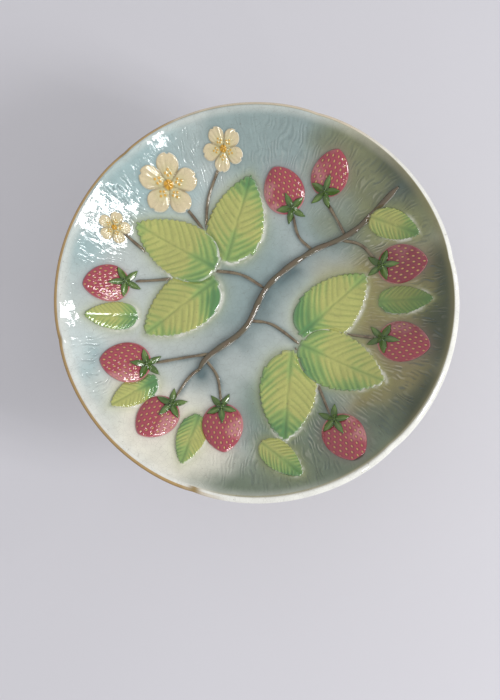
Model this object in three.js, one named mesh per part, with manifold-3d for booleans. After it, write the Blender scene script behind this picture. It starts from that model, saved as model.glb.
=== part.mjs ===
// Footed compote in glazed earthenware. A six-lobed dish is luted with slip to a hollow trumpet
// foot. The dish's face carries sprigged relief: strawberries with their calyxes, toothed leaves,
// blossoms and rolled stems, each pressed by itself and stuck down on a thin bed of slip.
// Millimetres, +Z up. The origin is on the table, under the centre of the foot.
import * as THREE from "three";
import { mergeVertices } from "three/addons/utils/BufferGeometryUtils.js";
import Module from "manifold-3d";

// Dish
const rimDiameter = 226;
const overallHeight = 98;
const dishDepth = 28;
const wellDiameter = 112;
const wallSweep = 1.75; // power of the wall's rise, where 1 is a straight cone
const dishWall = 6;
const lipThickness = 4;

// Lobes: the rim is nipped in at even steps
const lobeCount = 6;
const firstNotch = 12; // degrees from +X
const notchDepth = 0.8;
const notchSpread = 5; // degrees to either side
const notchCurve = 1; // power of the nip's fall-off, where 1 is a sharp cusp
const notchReach = 16; // how far in from the rim a nip is felt

// Pedestal
const footDiameter = 112;
const footEdge = 5;
const footRing = 7;
const waistDiameter = 44;
const waistHeight = 38;
const collarDiameter = 70;
const collarBand = 5; // upright stretch round the joint
const pedestalWall = 5;
const neckPull = 0.4; // share of the neck that each end of its S keeps upright
const flareDrop = 0.6; // share of the flare's height that it drops before it turns out
const flareReach = 0.7; // share of the foot's radius where the flare has turned
const flareRise = 0.2; // share of the flare's height left there

// Luted joint: a boss under the dish drops into the collar's bore, on a ring of slip
const slipThickness = 1.2;
const slipBead = 0.8;
const bossClearance = 0.6;
const bossDrop = 3; // below the slip ring

// Relief, in the sizes of the moulds that suit a dish of one rim diameter
const mouldedFor = 226;
const slipBed = 0.3;
const sprigGap = 0.4;
const reliefMargin = 5; // bare border inside the lip
const leafLength = 54;
const leafWidth = 40;
const smallLeafLength = 30;
const smallLeafWidth = 20;
const leafTaper = 0.55; // how keenly a leaf narrows to its tip
const leafEdge = 0.9;
const leafCrown = 2.1;
const leafTeeth = 14;
const toothDepth = 0.7;
const midribWidth = 1.4;
const midribDrop = 0.7;
const berryLength = 28;
const berryWidth = 26;
const berryTaper = 0.3;
const berryEdge = 0.8;
const berryCrown = 4.4;
const calyxSpan = 19;
const calyxSeat = 0.42; // share of the berry's length, from its middle back to the stalk
const calyxEdge = 2.4;
const calyxCrown = 5;
const sepalCount = 5;
const sepalRoot = 0.34; // share of the calyx's reach where its sepals part
const sepalTaper = 1.6;
const blossomSpan = 34;
const smallBlossomSpan = 24;
const budSpan = 18;
const petalCount = 5;
const petalRoot = 0.5;
const petalTaper = 0.5;
const petalEdge = 0.9;
const petalCrown = 1.8;
const eyeShare = 0.28; // of the blossom's reach
const eyeCrown = 2.8;
const stemThickness = 1.8;
const trunkThickness = 3.4;

// Facets
const dishSides = 90;
const faceSteps = 7;
const underSteps = 4;
const lipSteps = 4;
const pedestalSides = 60;
const pedestalSteps = 5; // to each curve of the profile
const berrySides = 20;
const sepalSides = 4; // to each sepal
const petalSides = 6; // to each petal
const swellShare = 0.55; // where a sprig's crown has its one ring between middle and edge
const stemSides = 6;
const stemSteps = 3; // straight stretches between two points of a stem's route
const weld = 1e-3; // corners nearer than this are one

const glazes = {
  ground: { color: 0xb4c2c0, roughness: 0.12 },
  foot: { color: 0xd9d6c6, roughness: 0.15 },
  slip: { color: 0xd8cfbc, roughness: 0.8 },
  leaf: { color: 0x93a85a, roughness: 0.15 },
  berry: { color: 0xa53c50, roughness: 0.12 },
  calyx: { color: 0x4b7a34, roughness: 0.15 },
  petal: { color: 0xe3d7bd, roughness: 0.15 },
  stem: { color: 0x8a7860, roughness: 0.2 },
};

// Where each sprig lies, as shares of the rim's radius, and where its tip points, in degrees from +X.
// In each list, an earlier sprig lies over a later one.
const leafPlaces = [
  { at: [-0.2, 0.19], heading: 152, size: "large" },
  { at: [-0.16, 0.22], heading: 74, size: "large" },
  { at: [-0.2, 0.14], heading: 218, size: "large" },
  { at: [0.22, -0.2], heading: -25, size: "large" },
  { at: [0.18, -0.23], heading: -95, size: "large" },
  { at: [0.22, -0.16], heading: 42, size: "large" },
  { at: [0.62, 0.02], heading: -2, size: "small" },
  { at: [0.58, 0.45], heading: -26, size: "small" },
  { at: [-0.6, -0.06], heading: 182, size: "small" },
  { at: [0.02, -0.7], heading: -38, size: "small" },
  { at: [-0.5, -0.38], heading: 213, size: "small" },
  { at: [-0.29, -0.56], heading: 252, size: "small" },
];
const berryPlaces = [
  { at: [0.14, 0.6], heading: 115, grown: 1 },
  { at: [0.38, 0.67], heading: 72, grown: 0.9 },
  { at: [0.74, 0.2], heading: 0, grown: 0.95 },
  { at: [-0.66, -0.3], heading: 176, grown: 1 },
  { at: [-0.5, -0.58], heading: 225, grown: 0.95 },
  { at: [-0.17, -0.63], heading: 275, grown: 1 },
  { at: [0.74, -0.2], heading: -14, grown: 1 },
  { at: [-0.76, 0.1], heading: 190, grown: 0.9 },
  { at: [0.44, -0.68], heading: -60, grown: 1 },
];
const blossomPlaces = [
  { at: [-0.45, 0.61], heading: 20, span: blossomSpan },
  { at: [-0.17, 0.79], heading: 50, span: smallBlossomSpan },
  { at: [-0.72, 0.38], heading: 5, span: budSpan },
];
const trunkRoute = [
  [0.71, 0.57],
  [0.5, 0.38],
  [0.27, 0.27],
  [0.06, 0.1],
  [-0.06, -0.12],
  [-0.24, -0.26],
  [-0.3, -0.34],
];
const stemRoutes = [
  [[0.3, 0.28], [0.22, 0.36], [0.19, 0.48]],
  [[0.46, 0.36], [0.42, 0.44], [0.36, 0.54]],
  [[0.44, 0.34], [0.54, 0.31], [0.62, 0.22]],
  [[-0.22, -0.25], [-0.36, -0.27], [-0.52, -0.3]],
  [[-0.28, -0.32], [-0.35, -0.38], [-0.42, -0.49]],
  [[-0.26, -0.28], [-0.2, -0.37], [-0.18, -0.5]],
  [[0.24, -0.18], [0.42, -0.15], [0.6, -0.17]],
  [[-0.22, 0.16], [-0.42, 0.14], [-0.62, 0.12]],
  [[0.2, -0.22], [0.3, -0.38], [0.37, -0.56]],
  [[-0.2, 0.22], [-0.28, 0.4], [-0.42, 0.57]],
  [[-0.26, 0.36], [-0.25, 0.55], [-0.18, 0.74]],
  [[-0.4, 0.19], [-0.56, 0.27], [-0.69, 0.37]],
  [[0.04, 0.09], [-0.08, 0.16], [-0.22, 0.18]],
  [[-0.04, -0.08], [0.08, -0.1], [0.22, -0.2]],
];

const wasm = await Module();
wasm.setup();

const radians = THREE.MathUtils.degToRad;
const rimRadius = rimDiameter / 2;
const fit = rimDiameter / mouldedFor; // the relief grows and shrinks with the dish
const wellRadius = wellDiameter / 2;
const lipRadius = rimRadius - lipThickness / 2; // to the middle of the lip
const wallRise = dishDepth - lipThickness / 2 + dishWall / 2;
const wellMiddle = overallHeight - lipThickness / 2 - wallRise; // mid-thickness of the floor
const seatHeight = wellMiddle - dishWall / 2; // flat underside that the slip meets
const collarTop = seatHeight - slipThickness;
const collarBore = collarDiameter / 2 - pedestalWall;

// A closed mesh as a solid that can be cut.
function toSolid(geometry) {
  const bare = geometry.clone();
  bare.deleteAttribute("normal");
  bare.deleteAttribute("uv");
  const merged = mergeVertices(bare, weld);
  const corners = merged.index.array;
  const kept = [];
  for (let i = 0; i < corners.length; i += 3) {
    const [a, b, c] = corners.slice(i, i + 3);
    if (a !== b && b !== c && c !== a) kept.push(a, b, c);
  }
  const mesh = new wasm.Mesh({
    numProp: 3,
    vertProperties: merged.attributes.position.array,
    triVerts: new Uint32Array(kept),
  });
  return new wasm.Manifold(mesh);
}

function toGeometry(solid) {
  const mesh = solid.getMesh();
  const geometry = new THREE.BufferGeometry();
  geometry.setAttribute("position", new THREE.BufferAttribute(mesh.vertProperties, 3));
  geometry.setIndex(new THREE.BufferAttribute(mesh.triVerts, 1));
  geometry.computeVertexNormals();
  return geometry;
}

function namedMesh(name, geometry, glaze) {
  const mesh = new THREE.Mesh(geometry, new THREE.MeshStandardMaterial({ ...glaze, metalness: 0 }));
  mesh.name = name;
  return mesh;
}

// A profile of radius and height, turned about +Z.
function turned(profile, sides) {
  return new THREE.LatheGeometry(profile, sides).rotateX(Math.PI / 2);
}

// The dish's wall is a curve thickened to both sides: flat over the well, then sweeping up to the lip.
function wallPoint(share, side) {
  const radius = THREE.MathUtils.lerp(wellRadius, lipRadius, share);
  const rise = wallRise * share ** wallSweep;
  const slope = (wallRise * wallSweep * share ** (wallSweep - 1)) / (lipRadius - wellRadius);
  const half = (side * THREE.MathUtils.lerp(dishWall, lipThickness, share)) / 2;
  const steep = Math.atan(slope);
  return new THREE.Vector2(radius - half * Math.sin(steep), wellMiddle + rise + half * Math.cos(steep));
}

function wallSide(side, steps) {
  return Array.from({ length: steps + 1 }, (_, i) => wallPoint(i / steps, side));
}

const faceProfile = wallSide(1, faceSteps); // the glazed face, from the well's edge to the lip

// Height of the dish's face over a point, on the same straight stretches as the solid.
function faceHeight(x, y) {
  const radius = Math.hypot(x, y);
  if (radius <= faceProfile[0].x) return faceProfile[0].y;
  const outer = faceProfile.findIndex((point, i) => point.x >= radius || i === faceSteps);
  const [a, b] = [faceProfile[outer - 1], faceProfile[outer]];
  return THREE.MathUtils.mapLinear(radius, a.x, b.x, a.y, b.y);
}

// How far the rim is nipped in at an angle from +X.
function notchAt(angle) {
  const step = (2 * Math.PI) / lobeCount;
  const past = THREE.MathUtils.euclideanModulo(angle - radians(firstNotch) + step / 2, step) - step / 2;
  return notchDepth * Math.exp(-(Math.abs(past / radians(notchSpread)) ** notchCurve));
}

// Pulls a turned rim in at the notches, fading out towards the axis.
function nipRim(geometry, outerRadius) {
  const point = geometry.getAttribute("position");
  for (let i = 0; i < point.count; i++) {
    const [x, y] = [point.getX(i), point.getY(i)];
    const radius = Math.hypot(x, y);
    const felt = THREE.MathUtils.smoothstep(radius, outerRadius - notchReach, outerRadius);
    if (felt === 0) continue;
    const keep = 1 - (notchAt(Math.atan2(y, x)) * felt) / radius;
    point.setXY(i, x * keep, y * keep);
  }
  return geometry;
}

function dish() {
  const bossRadius = collarBore - bossClearance;
  const bossFoot = collarTop - bossDrop;
  const under = wallSide(-1, underSteps);
  const lip = wallPoint(1, 0);
  const inward = Math.atan2(faceProfile.at(-1).y - lip.y, faceProfile.at(-1).x - lip.x);
  const round = lipThickness / 2;
  const edge = new THREE.EllipseCurve(lip.x, lip.y, round, round, inward - Math.PI, inward);
  const profile = [
    new THREE.Vector2(0, bossFoot),
    new THREE.Vector2(bossRadius, bossFoot),
    new THREE.Vector2(bossRadius, seatHeight),
    ...under,
    ...edge.getPoints(lipSteps).slice(1, -1),
    ...faceProfile.toReversed(),
    new THREE.Vector2(0, faceProfile[0].y),
  ];
  return nipRim(turned(profile, dishSides), rimRadius);
}

// Half of a trumpet: the collar's upright band, in to the waist, then out to the foot.
function trumpet(collar, waist, foot, footHeight) {
  const line = new THREE.Path();
  const bandFoot = collarTop - collarBand;
  const neck = (bandFoot - waistHeight) * neckPull;
  const flare = waistHeight - footHeight;
  line.moveTo(collar, collarTop);
  line.lineTo(collar, bandFoot);
  line.bezierCurveTo(collar, bandFoot - neck, waist, waistHeight + neck, waist, waistHeight);
  const turn = new THREE.Vector2(foot * flareReach, footHeight + flare * flareRise);
  line.bezierCurveTo(waist, waistHeight - flare * flareDrop, turn.x, turn.y, foot, footHeight);
  return line.getPoints(pedestalSteps);
}

function pedestal() {
  const foot = footDiameter / 2;
  const outside = trumpet(collarDiameter / 2, waistDiameter / 2, foot, footEdge);
  const hollow = foot - footRing;
  const inside = trumpet(collarBore, waistDiameter / 2 - pedestalWall, hollow, footEdge - pedestalWall / 2);
  const profile = [
    new THREE.Vector2(foot, 0),
    ...outside.toReversed(),
    ...inside,
    new THREE.Vector2(hollow, 0),
    new THREE.Vector2(foot, 0),
  ];
  return turned(profile, pedestalSides);
}

// The slip squeezed between collar and dish, with a bead where it oozed out.
function slipRing() {
  const outer = collarDiameter / 2;
  const line = new THREE.Path();
  line.moveTo(collarBore, collarTop);
  line.lineTo(outer, collarTop);
  line.quadraticCurveTo(outer + 2 * slipBead, (collarTop + seatHeight) / 2, outer, seatHeight);
  line.lineTo(collarBore, seatHeight);
  line.closePath();
  return turned(line.getPoints(lipSteps), pedestalSides);
}

// Outlines run round a sprig's middle, with the tip at turn 0. Each gives a point along and across.
function teardrop(length, width, taper) {
  return (turn) => {
    const narrowing = Math.sin(THREE.MathUtils.euclideanModulo(turn, 2 * Math.PI) / 2) ** taper;
    return [(length / 2) * Math.cos(turn), (width / 2) * Math.sin(turn) * narrowing];
  };
}

function star(span, points, root, taper) {
  return (turn) => {
    const ray = Math.abs(Math.cos((turn * points) / 2)) ** taper;
    const reach = (span / 2) * THREE.MathUtils.lerp(root, 1, ray);
    return [reach * Math.cos(turn), reach * Math.sin(turn)];
  };
}

// Every other corner of an outline is set back, which leaves a row of teeth.
function toothed(outline, teeth, depth) {
  return (turn) => {
    const [along, across] = outline(turn);
    const setBack = Math.round((turn * teeth) / Math.PI) % 2 === 0 ? 0 : depth;
    const keep = 1 - setBack / Math.hypot(along, across);
    return [along * keep, across * keep];
  };
}

// A disc reshaped to a sprig's outline and laid on the dish between two heights over its face.
function pad(sprig, grow, floor, crown) {
  const profile = [
    new THREE.Vector2(0, 0),
    new THREE.Vector2(swellShare, 0),
    new THREE.Vector2(1, 0),
    ...[1, ...sprig.rings, 0].map((share) => new THREE.Vector2(share, 1)),
  ];
  const geometry = turned(profile, sprig.sides);
  const point = geometry.getAttribute("position");
  const field = rimRadius - lipThickness - reliefMargin;
  for (let i = 0; i < point.count; i++) {
    const share = Math.hypot(point.getX(i), point.getY(i));
    const turn = Math.atan2(point.getY(i), point.getX(i));
    const own = new THREE.Vector2(...sprig.outline(turn));
    own.setLength(own.length() * fit + grow).multiplyScalar(share);
    const place = own.clone().rotateAround(new THREE.Vector2(), sprig.heading).add(sprig.middle);
    place.clampLength(0, field);
    const height = Math.round(point.getZ(i)) === 1 ? crown(share, own.y) : floor;
    point.setXYZ(i, place.x, place.y, faceHeight(place.x, place.y) + height);
  }
  return toSolid(geometry);
}

function sprigSolid(sprig) {
  return pad(sprig, 0, slipBed, (share, across) => slipBed + sprig.crown(share, across));
}

// What a sprig hides: its outline and a gap, through all that lies lower.
function sprigCutter(sprig) {
  return pad(sprig, sprigGap, -slipBed, () => dishDepth);
}

function onDish([x, y]) {
  return new THREE.Vector2(x, y).multiplyScalar(rimRadius);
}

function ahead(heading, distance) {
  return new THREE.Vector2(distance * fit, 0).rotateAround(new THREE.Vector2(), heading);
}

function domed(edge, crown) {
  return (share) => THREE.MathUtils.lerp(edge, crown, Math.sqrt(Math.max(0, 1 - share * share)));
}

function leafSprig({ at, heading, size }, i) {
  const [length, width] = size === "large" ? [leafLength, leafWidth] : [smallLeafLength, smallLeafWidth];
  const turn = radians(heading);
  const swell = domed(leafEdge, leafCrown);
  const midrib = (share, across) => (Math.abs(across) < midribWidth / 2 ? midribDrop * (1 - share) : 0);
  return {
    name: `leaf_${i + 1}`,
    glaze: glazes.leaf,
    sides: 2 * leafTeeth,
    rings: [swellShare],
    outline: toothed(teardrop(length, width, leafTaper), leafTeeth, toothDepth),
    crown: (share, across) => swell(share) - midrib(share, across),
    heading: turn,
    middle: onDish(at).add(ahead(turn, length / 2)), // a leaf is placed by its stalk end
  };
}

function berrySprig({ at, heading, grown }, i) {
  return {
    name: `berry_${i + 1}`,
    glaze: glazes.berry,
    sides: berrySides,
    rings: [swellShare],
    outline: teardrop(berryLength * grown, berryWidth * grown, berryTaper),
    crown: domed(berryEdge, berryCrown * grown),
    heading: radians(heading),
    middle: onDish(at),
  };
}

// A calyx sits over the stalk end of its berry, with its sepals spread.
function calyxSprig({ at, heading, grown }, i) {
  const turn = radians(heading);
  return {
    name: `calyx_${i + 1}`,
    glaze: glazes.calyx,
    sides: sepalSides * sepalCount,
    rings: [swellShare],
    outline: star(calyxSpan, sepalCount, sepalRoot, sepalTaper),
    crown: domed(calyxEdge, calyxCrown),
    heading: turn,
    middle: onDish(at).add(ahead(turn, -berryLength * grown * calyxSeat)),
  };
}

function blossomSprig({ at, heading, span }, i) {
  const petals = domed(petalEdge, petalCrown);
  return {
    name: `blossom_${i + 1}`,
    glaze: glazes.petal,
    sides: petalSides * petalCount,
    rings: [swellShare, eyeShare],
    outline: star(span, petalCount, petalRoot, petalTaper),
    crown: (share) => (share < eyeShare / 2 ? eyeCrown : petals(share)),
    heading: radians(heading),
    middle: onDish(at),
  };
}

// A point over the dish's face, standing off square to it.
function overFace({ x, y }, standOff) {
  const radius = Math.hypot(x, y);
  const step = stemThickness / 2;
  const outward = new THREE.Vector2(x, y).setLength(step);
  const rise = faceHeight(x + outward.x, y + outward.y) - faceHeight(x - outward.x, y - outward.y);
  const steep = Math.atan(rise / (2 * step));
  const place = new THREE.Vector2(x, y).setLength(radius - standOff * Math.sin(steep));
  return new THREE.Vector3(place.x, place.y, faceHeight(x, y) + standOff * Math.cos(steep));
}

// A rolled stem, pressed along its route on the dish's face.
function stemSolid(route, thickness, grow) {
  const round = (thickness * fit) / 2;
  const steps = (route.length - 1) * stemSteps;
  const plan = new THREE.SplineCurve(route.map(onDish)).getSpacedPoints(steps);
  const laid = plan.map((point) => overFace(point, slipBed + round));
  const section = new THREE.Shape().absarc(0, 0, round + grow, 0, 2 * Math.PI);
  const geometry = new THREE.ExtrudeGeometry(section, {
    extrudePath: new THREE.CatmullRomCurve3(laid),
    steps,
    curveSegments: Math.round(stemSides / 2), // a full circle takes two steps to each
    bevelEnabled: false,
  });
  return toSolid(geometry);
}

function largest(solid) {
  return solid.decompose().reduce((most, body) => (body.volume() > most.volume() ? body : most));
}

// Sprigs from the top one down: what lies lower is cut back from all that lies over it.
function relief() {
  const meshes = [];
  const lying = [
    ...berryPlaces.map(calyxSprig),
    ...berryPlaces.map(berrySprig),
    ...blossomPlaces.map(blossomSprig),
    ...leafPlaces.map(leafSprig),
  ];
  let covered = null;
  for (const sprig of lying) {
    const whole = sprigSolid(sprig);
    const shown = covered ? largest(whole.subtract(covered)) : whole;
    const cutter = sprigCutter(sprig);
    covered = covered ? covered.add(cutter) : cutter;
    meshes.push(namedMesh(sprig.name, toGeometry(shown), sprig.glaze));
  }
  const stems = [[trunkRoute, trunkThickness], ...stemRoutes.map((route) => [route, stemThickness])];
  stems.forEach(([route, thickness], i) => {
    const shown = largest(stemSolid(route, thickness, 0).subtract(covered));
    covered = covered.add(stemSolid(route, thickness, sprigGap));
    meshes.push(namedMesh(i === 0 ? "trunk" : `stem_${i}`, toGeometry(shown), glazes.stem));
  });
  return meshes;
}

const compote = new THREE.Group();
compote.add(namedMesh("dish", dish(), glazes.ground));
compote.add(namedMesh("slip_ring", slipRing(), glazes.slip));
compote.add(namedMesh("pedestal", pedestal(), glazes.foot));
compote.add(...relief());

export default compote;
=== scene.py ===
"""A footed compote in glazed earthenware: a six-lobed dish on a hollow foot, with sprigged relief."""

import math

import bpy
import numpy as np
from mathutils import Euler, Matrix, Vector


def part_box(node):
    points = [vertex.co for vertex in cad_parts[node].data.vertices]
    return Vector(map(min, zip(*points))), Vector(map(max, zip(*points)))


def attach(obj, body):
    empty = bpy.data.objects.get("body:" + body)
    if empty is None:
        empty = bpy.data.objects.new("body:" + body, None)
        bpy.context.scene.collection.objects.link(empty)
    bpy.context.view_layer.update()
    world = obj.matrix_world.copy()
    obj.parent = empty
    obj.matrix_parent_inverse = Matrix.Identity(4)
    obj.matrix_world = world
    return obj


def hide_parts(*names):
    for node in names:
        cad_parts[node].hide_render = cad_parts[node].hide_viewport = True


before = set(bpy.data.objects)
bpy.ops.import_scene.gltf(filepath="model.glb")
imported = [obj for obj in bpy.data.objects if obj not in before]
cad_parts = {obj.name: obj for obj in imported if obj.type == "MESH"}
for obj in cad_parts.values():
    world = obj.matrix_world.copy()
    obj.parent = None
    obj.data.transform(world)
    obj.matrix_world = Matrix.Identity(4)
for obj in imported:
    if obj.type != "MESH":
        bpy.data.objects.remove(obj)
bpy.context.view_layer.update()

bl_info = {
    "name": "Strawberry Compote",
    "version": (1, 0, 0),
    "blender": (4, 5, 0),
    "location": "View3D > Sidebar > Compote",
    "description": "Builds a footed compote with sprigged relief under coloured glazes",
    "category": "Object",
}

MM = 0.001
TURN = 2 * math.pi

# Dish. Sizes and places are in millimetres unless a comment says otherwise.
wall_sweep = 1.75  # power of the wall's rise, where 1 is a straight cone
glaze_inset = 0.1  # how far the glazed rim stays inside the CAD rim
lobe_count = 6
first_notch = math.radians(12)
notch_depth = 0.8
notch_spread = math.radians(5)
notch_reach = 16
slip_thickness = 1.2
slip_bead = 0.8
boss_clearance = 0.6
boss_drop = 3
boss_chamfer = 0.6
boss_ledge = 2  # flat ring left outside the boss
boss_eye = 4  # radius of the innermost ring under the boss
relief_margin = 5

# Lip
lip_shoulder = (110, 10)  # degrees round the lip between which it is rubbed flat
lip_flatness = 0.75
lip_lap = 2.2  # width of the lip's band that laps onto the face
lip_start = 0.15  # share of the lip's band on that lap
under_start = 0.8  # share of the lip's band where the bare underside starts
lip_wiped = (0.05, 0.36)  # share of the band that the ground colour covers, where it was wiped most and least
lip_covered_bearing = math.radians(115)  # side on which the ground colour laps highest onto the lip
rim_fade = 5  # width inside the lip over which the sprayed colour thins
stain_spread = math.radians(1.8)  # how far the colour that pooled in a notch runs along the lip

# Combed ground
comb_cells = 150  # broad strokes to a full turn
comb_length = 6.5
comb_height = 0.24
comb_strokes = 230.0  # fine strokes to a full turn
comb_sway = 26.0
# Cells of noise to a radian round the dish and to a metre down its wall, in the fine strokes
comb_sway_cells = (12.0, 80.0)
comb_length_cells = (28.0, 180.0)
comb_drift = (40, 12)  # cells to a full turn, and length, of the drift that bends the broad strokes
comb_bend = (2.4, 0.6)  # how far it moves a stroke, in cells round and lengths down
comb_clusters = (18, 20)  # clusters of strokes to a full turn, and their length
comb_bearing = math.radians(-15)  # side of the dish where the strokes are deepest
comb_least = 0.25  # share of their depth that is left on the other side
comb_start = (-4, 26)  # where the strokes come in, outward from the well's edge
comb_end = (7, 1)  # where they die out, inward from the lip
comb_clear = (0.5, 4)  # gaps beside a sprig between which they come back
stroke_clear = (0.3, 2.5)  # the same for the fine strokes
sunlit_end = (24, 10)  # where the pale tops of the fine strokes die out, inward from the lip
comb_calm = ((-54, -76), 20, 50)  # middle of the stretch that is left smooth, and where strokes come back
# Middle, reach and depth of each place on the left where the strokes are deeper again
comb_places = [((-94, -36), 24, 0.6), ((-88, 52), 34, 0.8)]
fillet_height = 0.3
fillet_spread = 0.9
# Spread of the slate blue beside the trunk and the thin stems, and how far it lies to their lower right
trunk_shade = 6.5
stem_shade = 1.6
thin_shade = 0.7  # its strength beside a thin stem, as a share of the trunk's
shade_shift = 2
leaf_mist = 3  # spread of the green and the pink that drifted past leaves and berries
berry_mist = 2.5

# Glaze
wave_depth = 1.2  # of the slow waves in the glaze
stroke_depth = 0.4  # of the fine strokes under it
stroke_strength = 0.6
bare_roughness = 0.8
coat_roughness = 0.02
glaze_index = 1.52  # how strongly the glaze bends light

# Foot
collar_band = 5
neck_pull = 0.4
flare_drop = 0.6
flare_reach = 0.7
flare_rise = 0.2
foot_edge = 5
foot_ring = 7
edge_inset = 0.9  # how far the flare stops short of the foot's widest line
edge_round = 2  # height and inset of the rounding under that line
# Each band of colour down the foot, and the heights between which it comes in
foot_bands = [("ground", 62, 45), ("mist", 50, 22), ("cream", 21, 14)]
foot_line = (5.8, 4.8)  # heights between which the line round its edge comes in

# Sprigs
sink = 0.5  # how far a sprig's edge is pressed into the dish
tuck = 1.2  # width of the dip where one sprig passes under another
tuck_height = 0.5  # height over the face that is left at the bottom of that dip
lit_edge_bearing = math.radians(-45)  # side, toward the window, on which the glaze breaks white along a leaf's edge, partly a painted highlight
halo_width = 1

# Leaves
leaf_taper = 0.55
leaf_swell = (0.75, 2.0)  # height at the edge and in the middle
leaf_droop = 0.25
leaf_round = 0.55  # how far the very edge is rounded off
leaf_veins = 11.5  # side veins to a leaf's length
vein_pillow = 0.42
midrib_drop = 0.4
midrib_width = 0.9
tooth_bite = 0.06  # share of the reach that a tooth bites out

# Berries
berry_taper = 0.3
berry_edge = 0.35
berry_crown = 4.1
berry_round = (2.2, 0.62)  # powers of the crown's fall to the edge
seed_pitch = 3.3
seed_row = 0.86  # spacing of the rows of seeds, as a share of the pitch
pit_drop = 0.42
seed_rise = 0.34

# Calyxes
calyx_seat = 0.42  # share of the berry's length, from its middle back to the stalk
sepal_count = 5
sepal_form = (0.3, 0.8)  # share of the reach where sepals part, and keenness of their points
sepal_swell = (0.55, 1.05)  # height at the edge and in the middle
sepal_round = 0.45
stalk_nub = 0.9

# Blossoms
petal_count = 5
petal_form = (0.5, 0.5)  # share of the reach where petals part, and roundness of their ends
petal_swell = (0.6, 1.5)  # height at the edge and in the middle
petal_round = 0.4
petal_vein = 0.12
eye_share = 0.17  # of the blossom's reach
stamen_rise = 0.5
# Each petal's stamens: share of the way to the next petal, and share of the petal's reach
stamen_places = [(0, 0.28), (0, 0.46), (-0.2, 0.36), (0.2, 0.36)]

# Stems
stem_spacing = 2.2  # between the points that a stem's line is kept as
stem_step = 0.7  # between the rings of a rolled stem
stem_knot = (0.85, 0.3)  # least thickness, and how much a knot adds, as shares
knot_length = 5
stem_taper = (0.55, 1.4)  # share of its thickness at an end, and length of the taper in thicknesses
stem_lift = (0.12, 1.75)  # least height, and the top's height in half thicknesses
stem_sink = 0.25

# Fineness
face_rings = 136
under_rings = 22
lip_rings = 14
foot_sides = 240
neck_steps = 26
flare_steps = 40
edge_steps = 8
bead_steps = 10
leaf_rings = 42
berry_rings = 38
calyx_rings = 22
blossom_rings = 40
stem_sides = 14

# Place of each sprig as shares of the rim's radius, the degrees from +X that it points to, and its size.
# In each list, an earlier sprig lies over a later one.
leaf_places = [
    ((-0.2, 0.19), 152, "leaf"),
    ((-0.16, 0.22), 74, "leaf"),
    ((-0.2, 0.14), 218, "leaf"),
    ((0.22, -0.2), -25, "leaf"),
    ((0.18, -0.23), -95, "leaf"),
    ((0.22, -0.16), 42, "leaf"),
    ((0.62, 0.02), -2, "small_leaf"),
    ((0.58, 0.45), -26, "small_leaf"),
    ((-0.6, -0.06), 182, "small_leaf"),
    ((0.02, -0.7), -38, "small_leaf"),
    ((-0.5, -0.38), 213, "small_leaf"),
    ((-0.29, -0.56), 252, "small_leaf"),
]
berry_places = [
    ((0.14, 0.6), 115, 1),
    ((0.38, 0.67), 72, 0.9),
    ((0.74, 0.2), 0, 0.95),
    ((-0.66, -0.3), 176, 1),
    ((-0.5, -0.58), 225, 0.95),
    ((-0.17, -0.63), 275, 1),
    ((0.74, -0.2), -14, 1),
    ((-0.76, 0.1), 190, 0.9),
    ((0.44, -0.68), -60, 1),
]
blossom_places = [
    ((-0.45, 0.61), 20, 1),
    ((-0.17, 0.79), 50, 24 / 34),
    ((-0.72, 0.38), 5, 18 / 34),
]
trunk_route = [
    (0.71, 0.57),
    (0.5, 0.38),
    (0.27, 0.27),
    (0.06, 0.1),
    (-0.06, -0.12),
    (-0.24, -0.26),
    (-0.3, -0.34),
]
stem_routes = [
    [(0.3, 0.28), (0.22, 0.36), (0.19, 0.48)],
    [(0.46, 0.36), (0.42, 0.44), (0.36, 0.54)],
    [(0.44, 0.34), (0.54, 0.31), (0.62, 0.22)],
    [(-0.22, -0.25), (-0.36, -0.27), (-0.52, -0.3)],
    [(-0.28, -0.32), (-0.35, -0.38), (-0.42, -0.49)],
    [(-0.26, -0.28), (-0.2, -0.37), (-0.18, -0.5)],
    [(0.24, -0.18), (0.42, -0.15), (0.6, -0.17)],
    [(-0.22, 0.16), (-0.42, 0.14), (-0.62, 0.12)],
    [(0.2, -0.22), (0.3, -0.38), (0.37, -0.56)],
    [(-0.2, 0.22), (-0.28, 0.4), (-0.42, 0.57)],
    [(-0.26, 0.36), (-0.25, 0.55), (-0.18, 0.74)],
    [(-0.4, 0.19), (-0.56, 0.27), (-0.69, 0.37)],
    [(0.04, 0.09), (-0.08, 0.16), (-0.22, 0.18)],
    [(-0.04, -0.08), (0.08, -0.1), (0.22, -0.2)],
]


def paint(code):
    """A colour written as six hexadecimal digits, in linear light."""
    shares = [int(code[i : i + 2], 16) / 255 for i in (0, 2, 4)]
    return tuple(s / 12.92 if s <= 0.04045 else ((s + 0.055) / 1.055) ** 2.4 for s in shares)


def span_of(node, axis):
    low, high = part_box(node)
    return high[axis] - low[axis]


def length_property(name, description, default):
    return bpy.props.FloatProperty(name=name, description=description, default=default, min=0, unit="LENGTH")


def colour_property(name, description, code):
    return bpy.props.FloatVectorProperty(
        name=name, description=description, default=paint(code), min=0, max=1, size=3, subtype="COLOR"
    )


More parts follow.
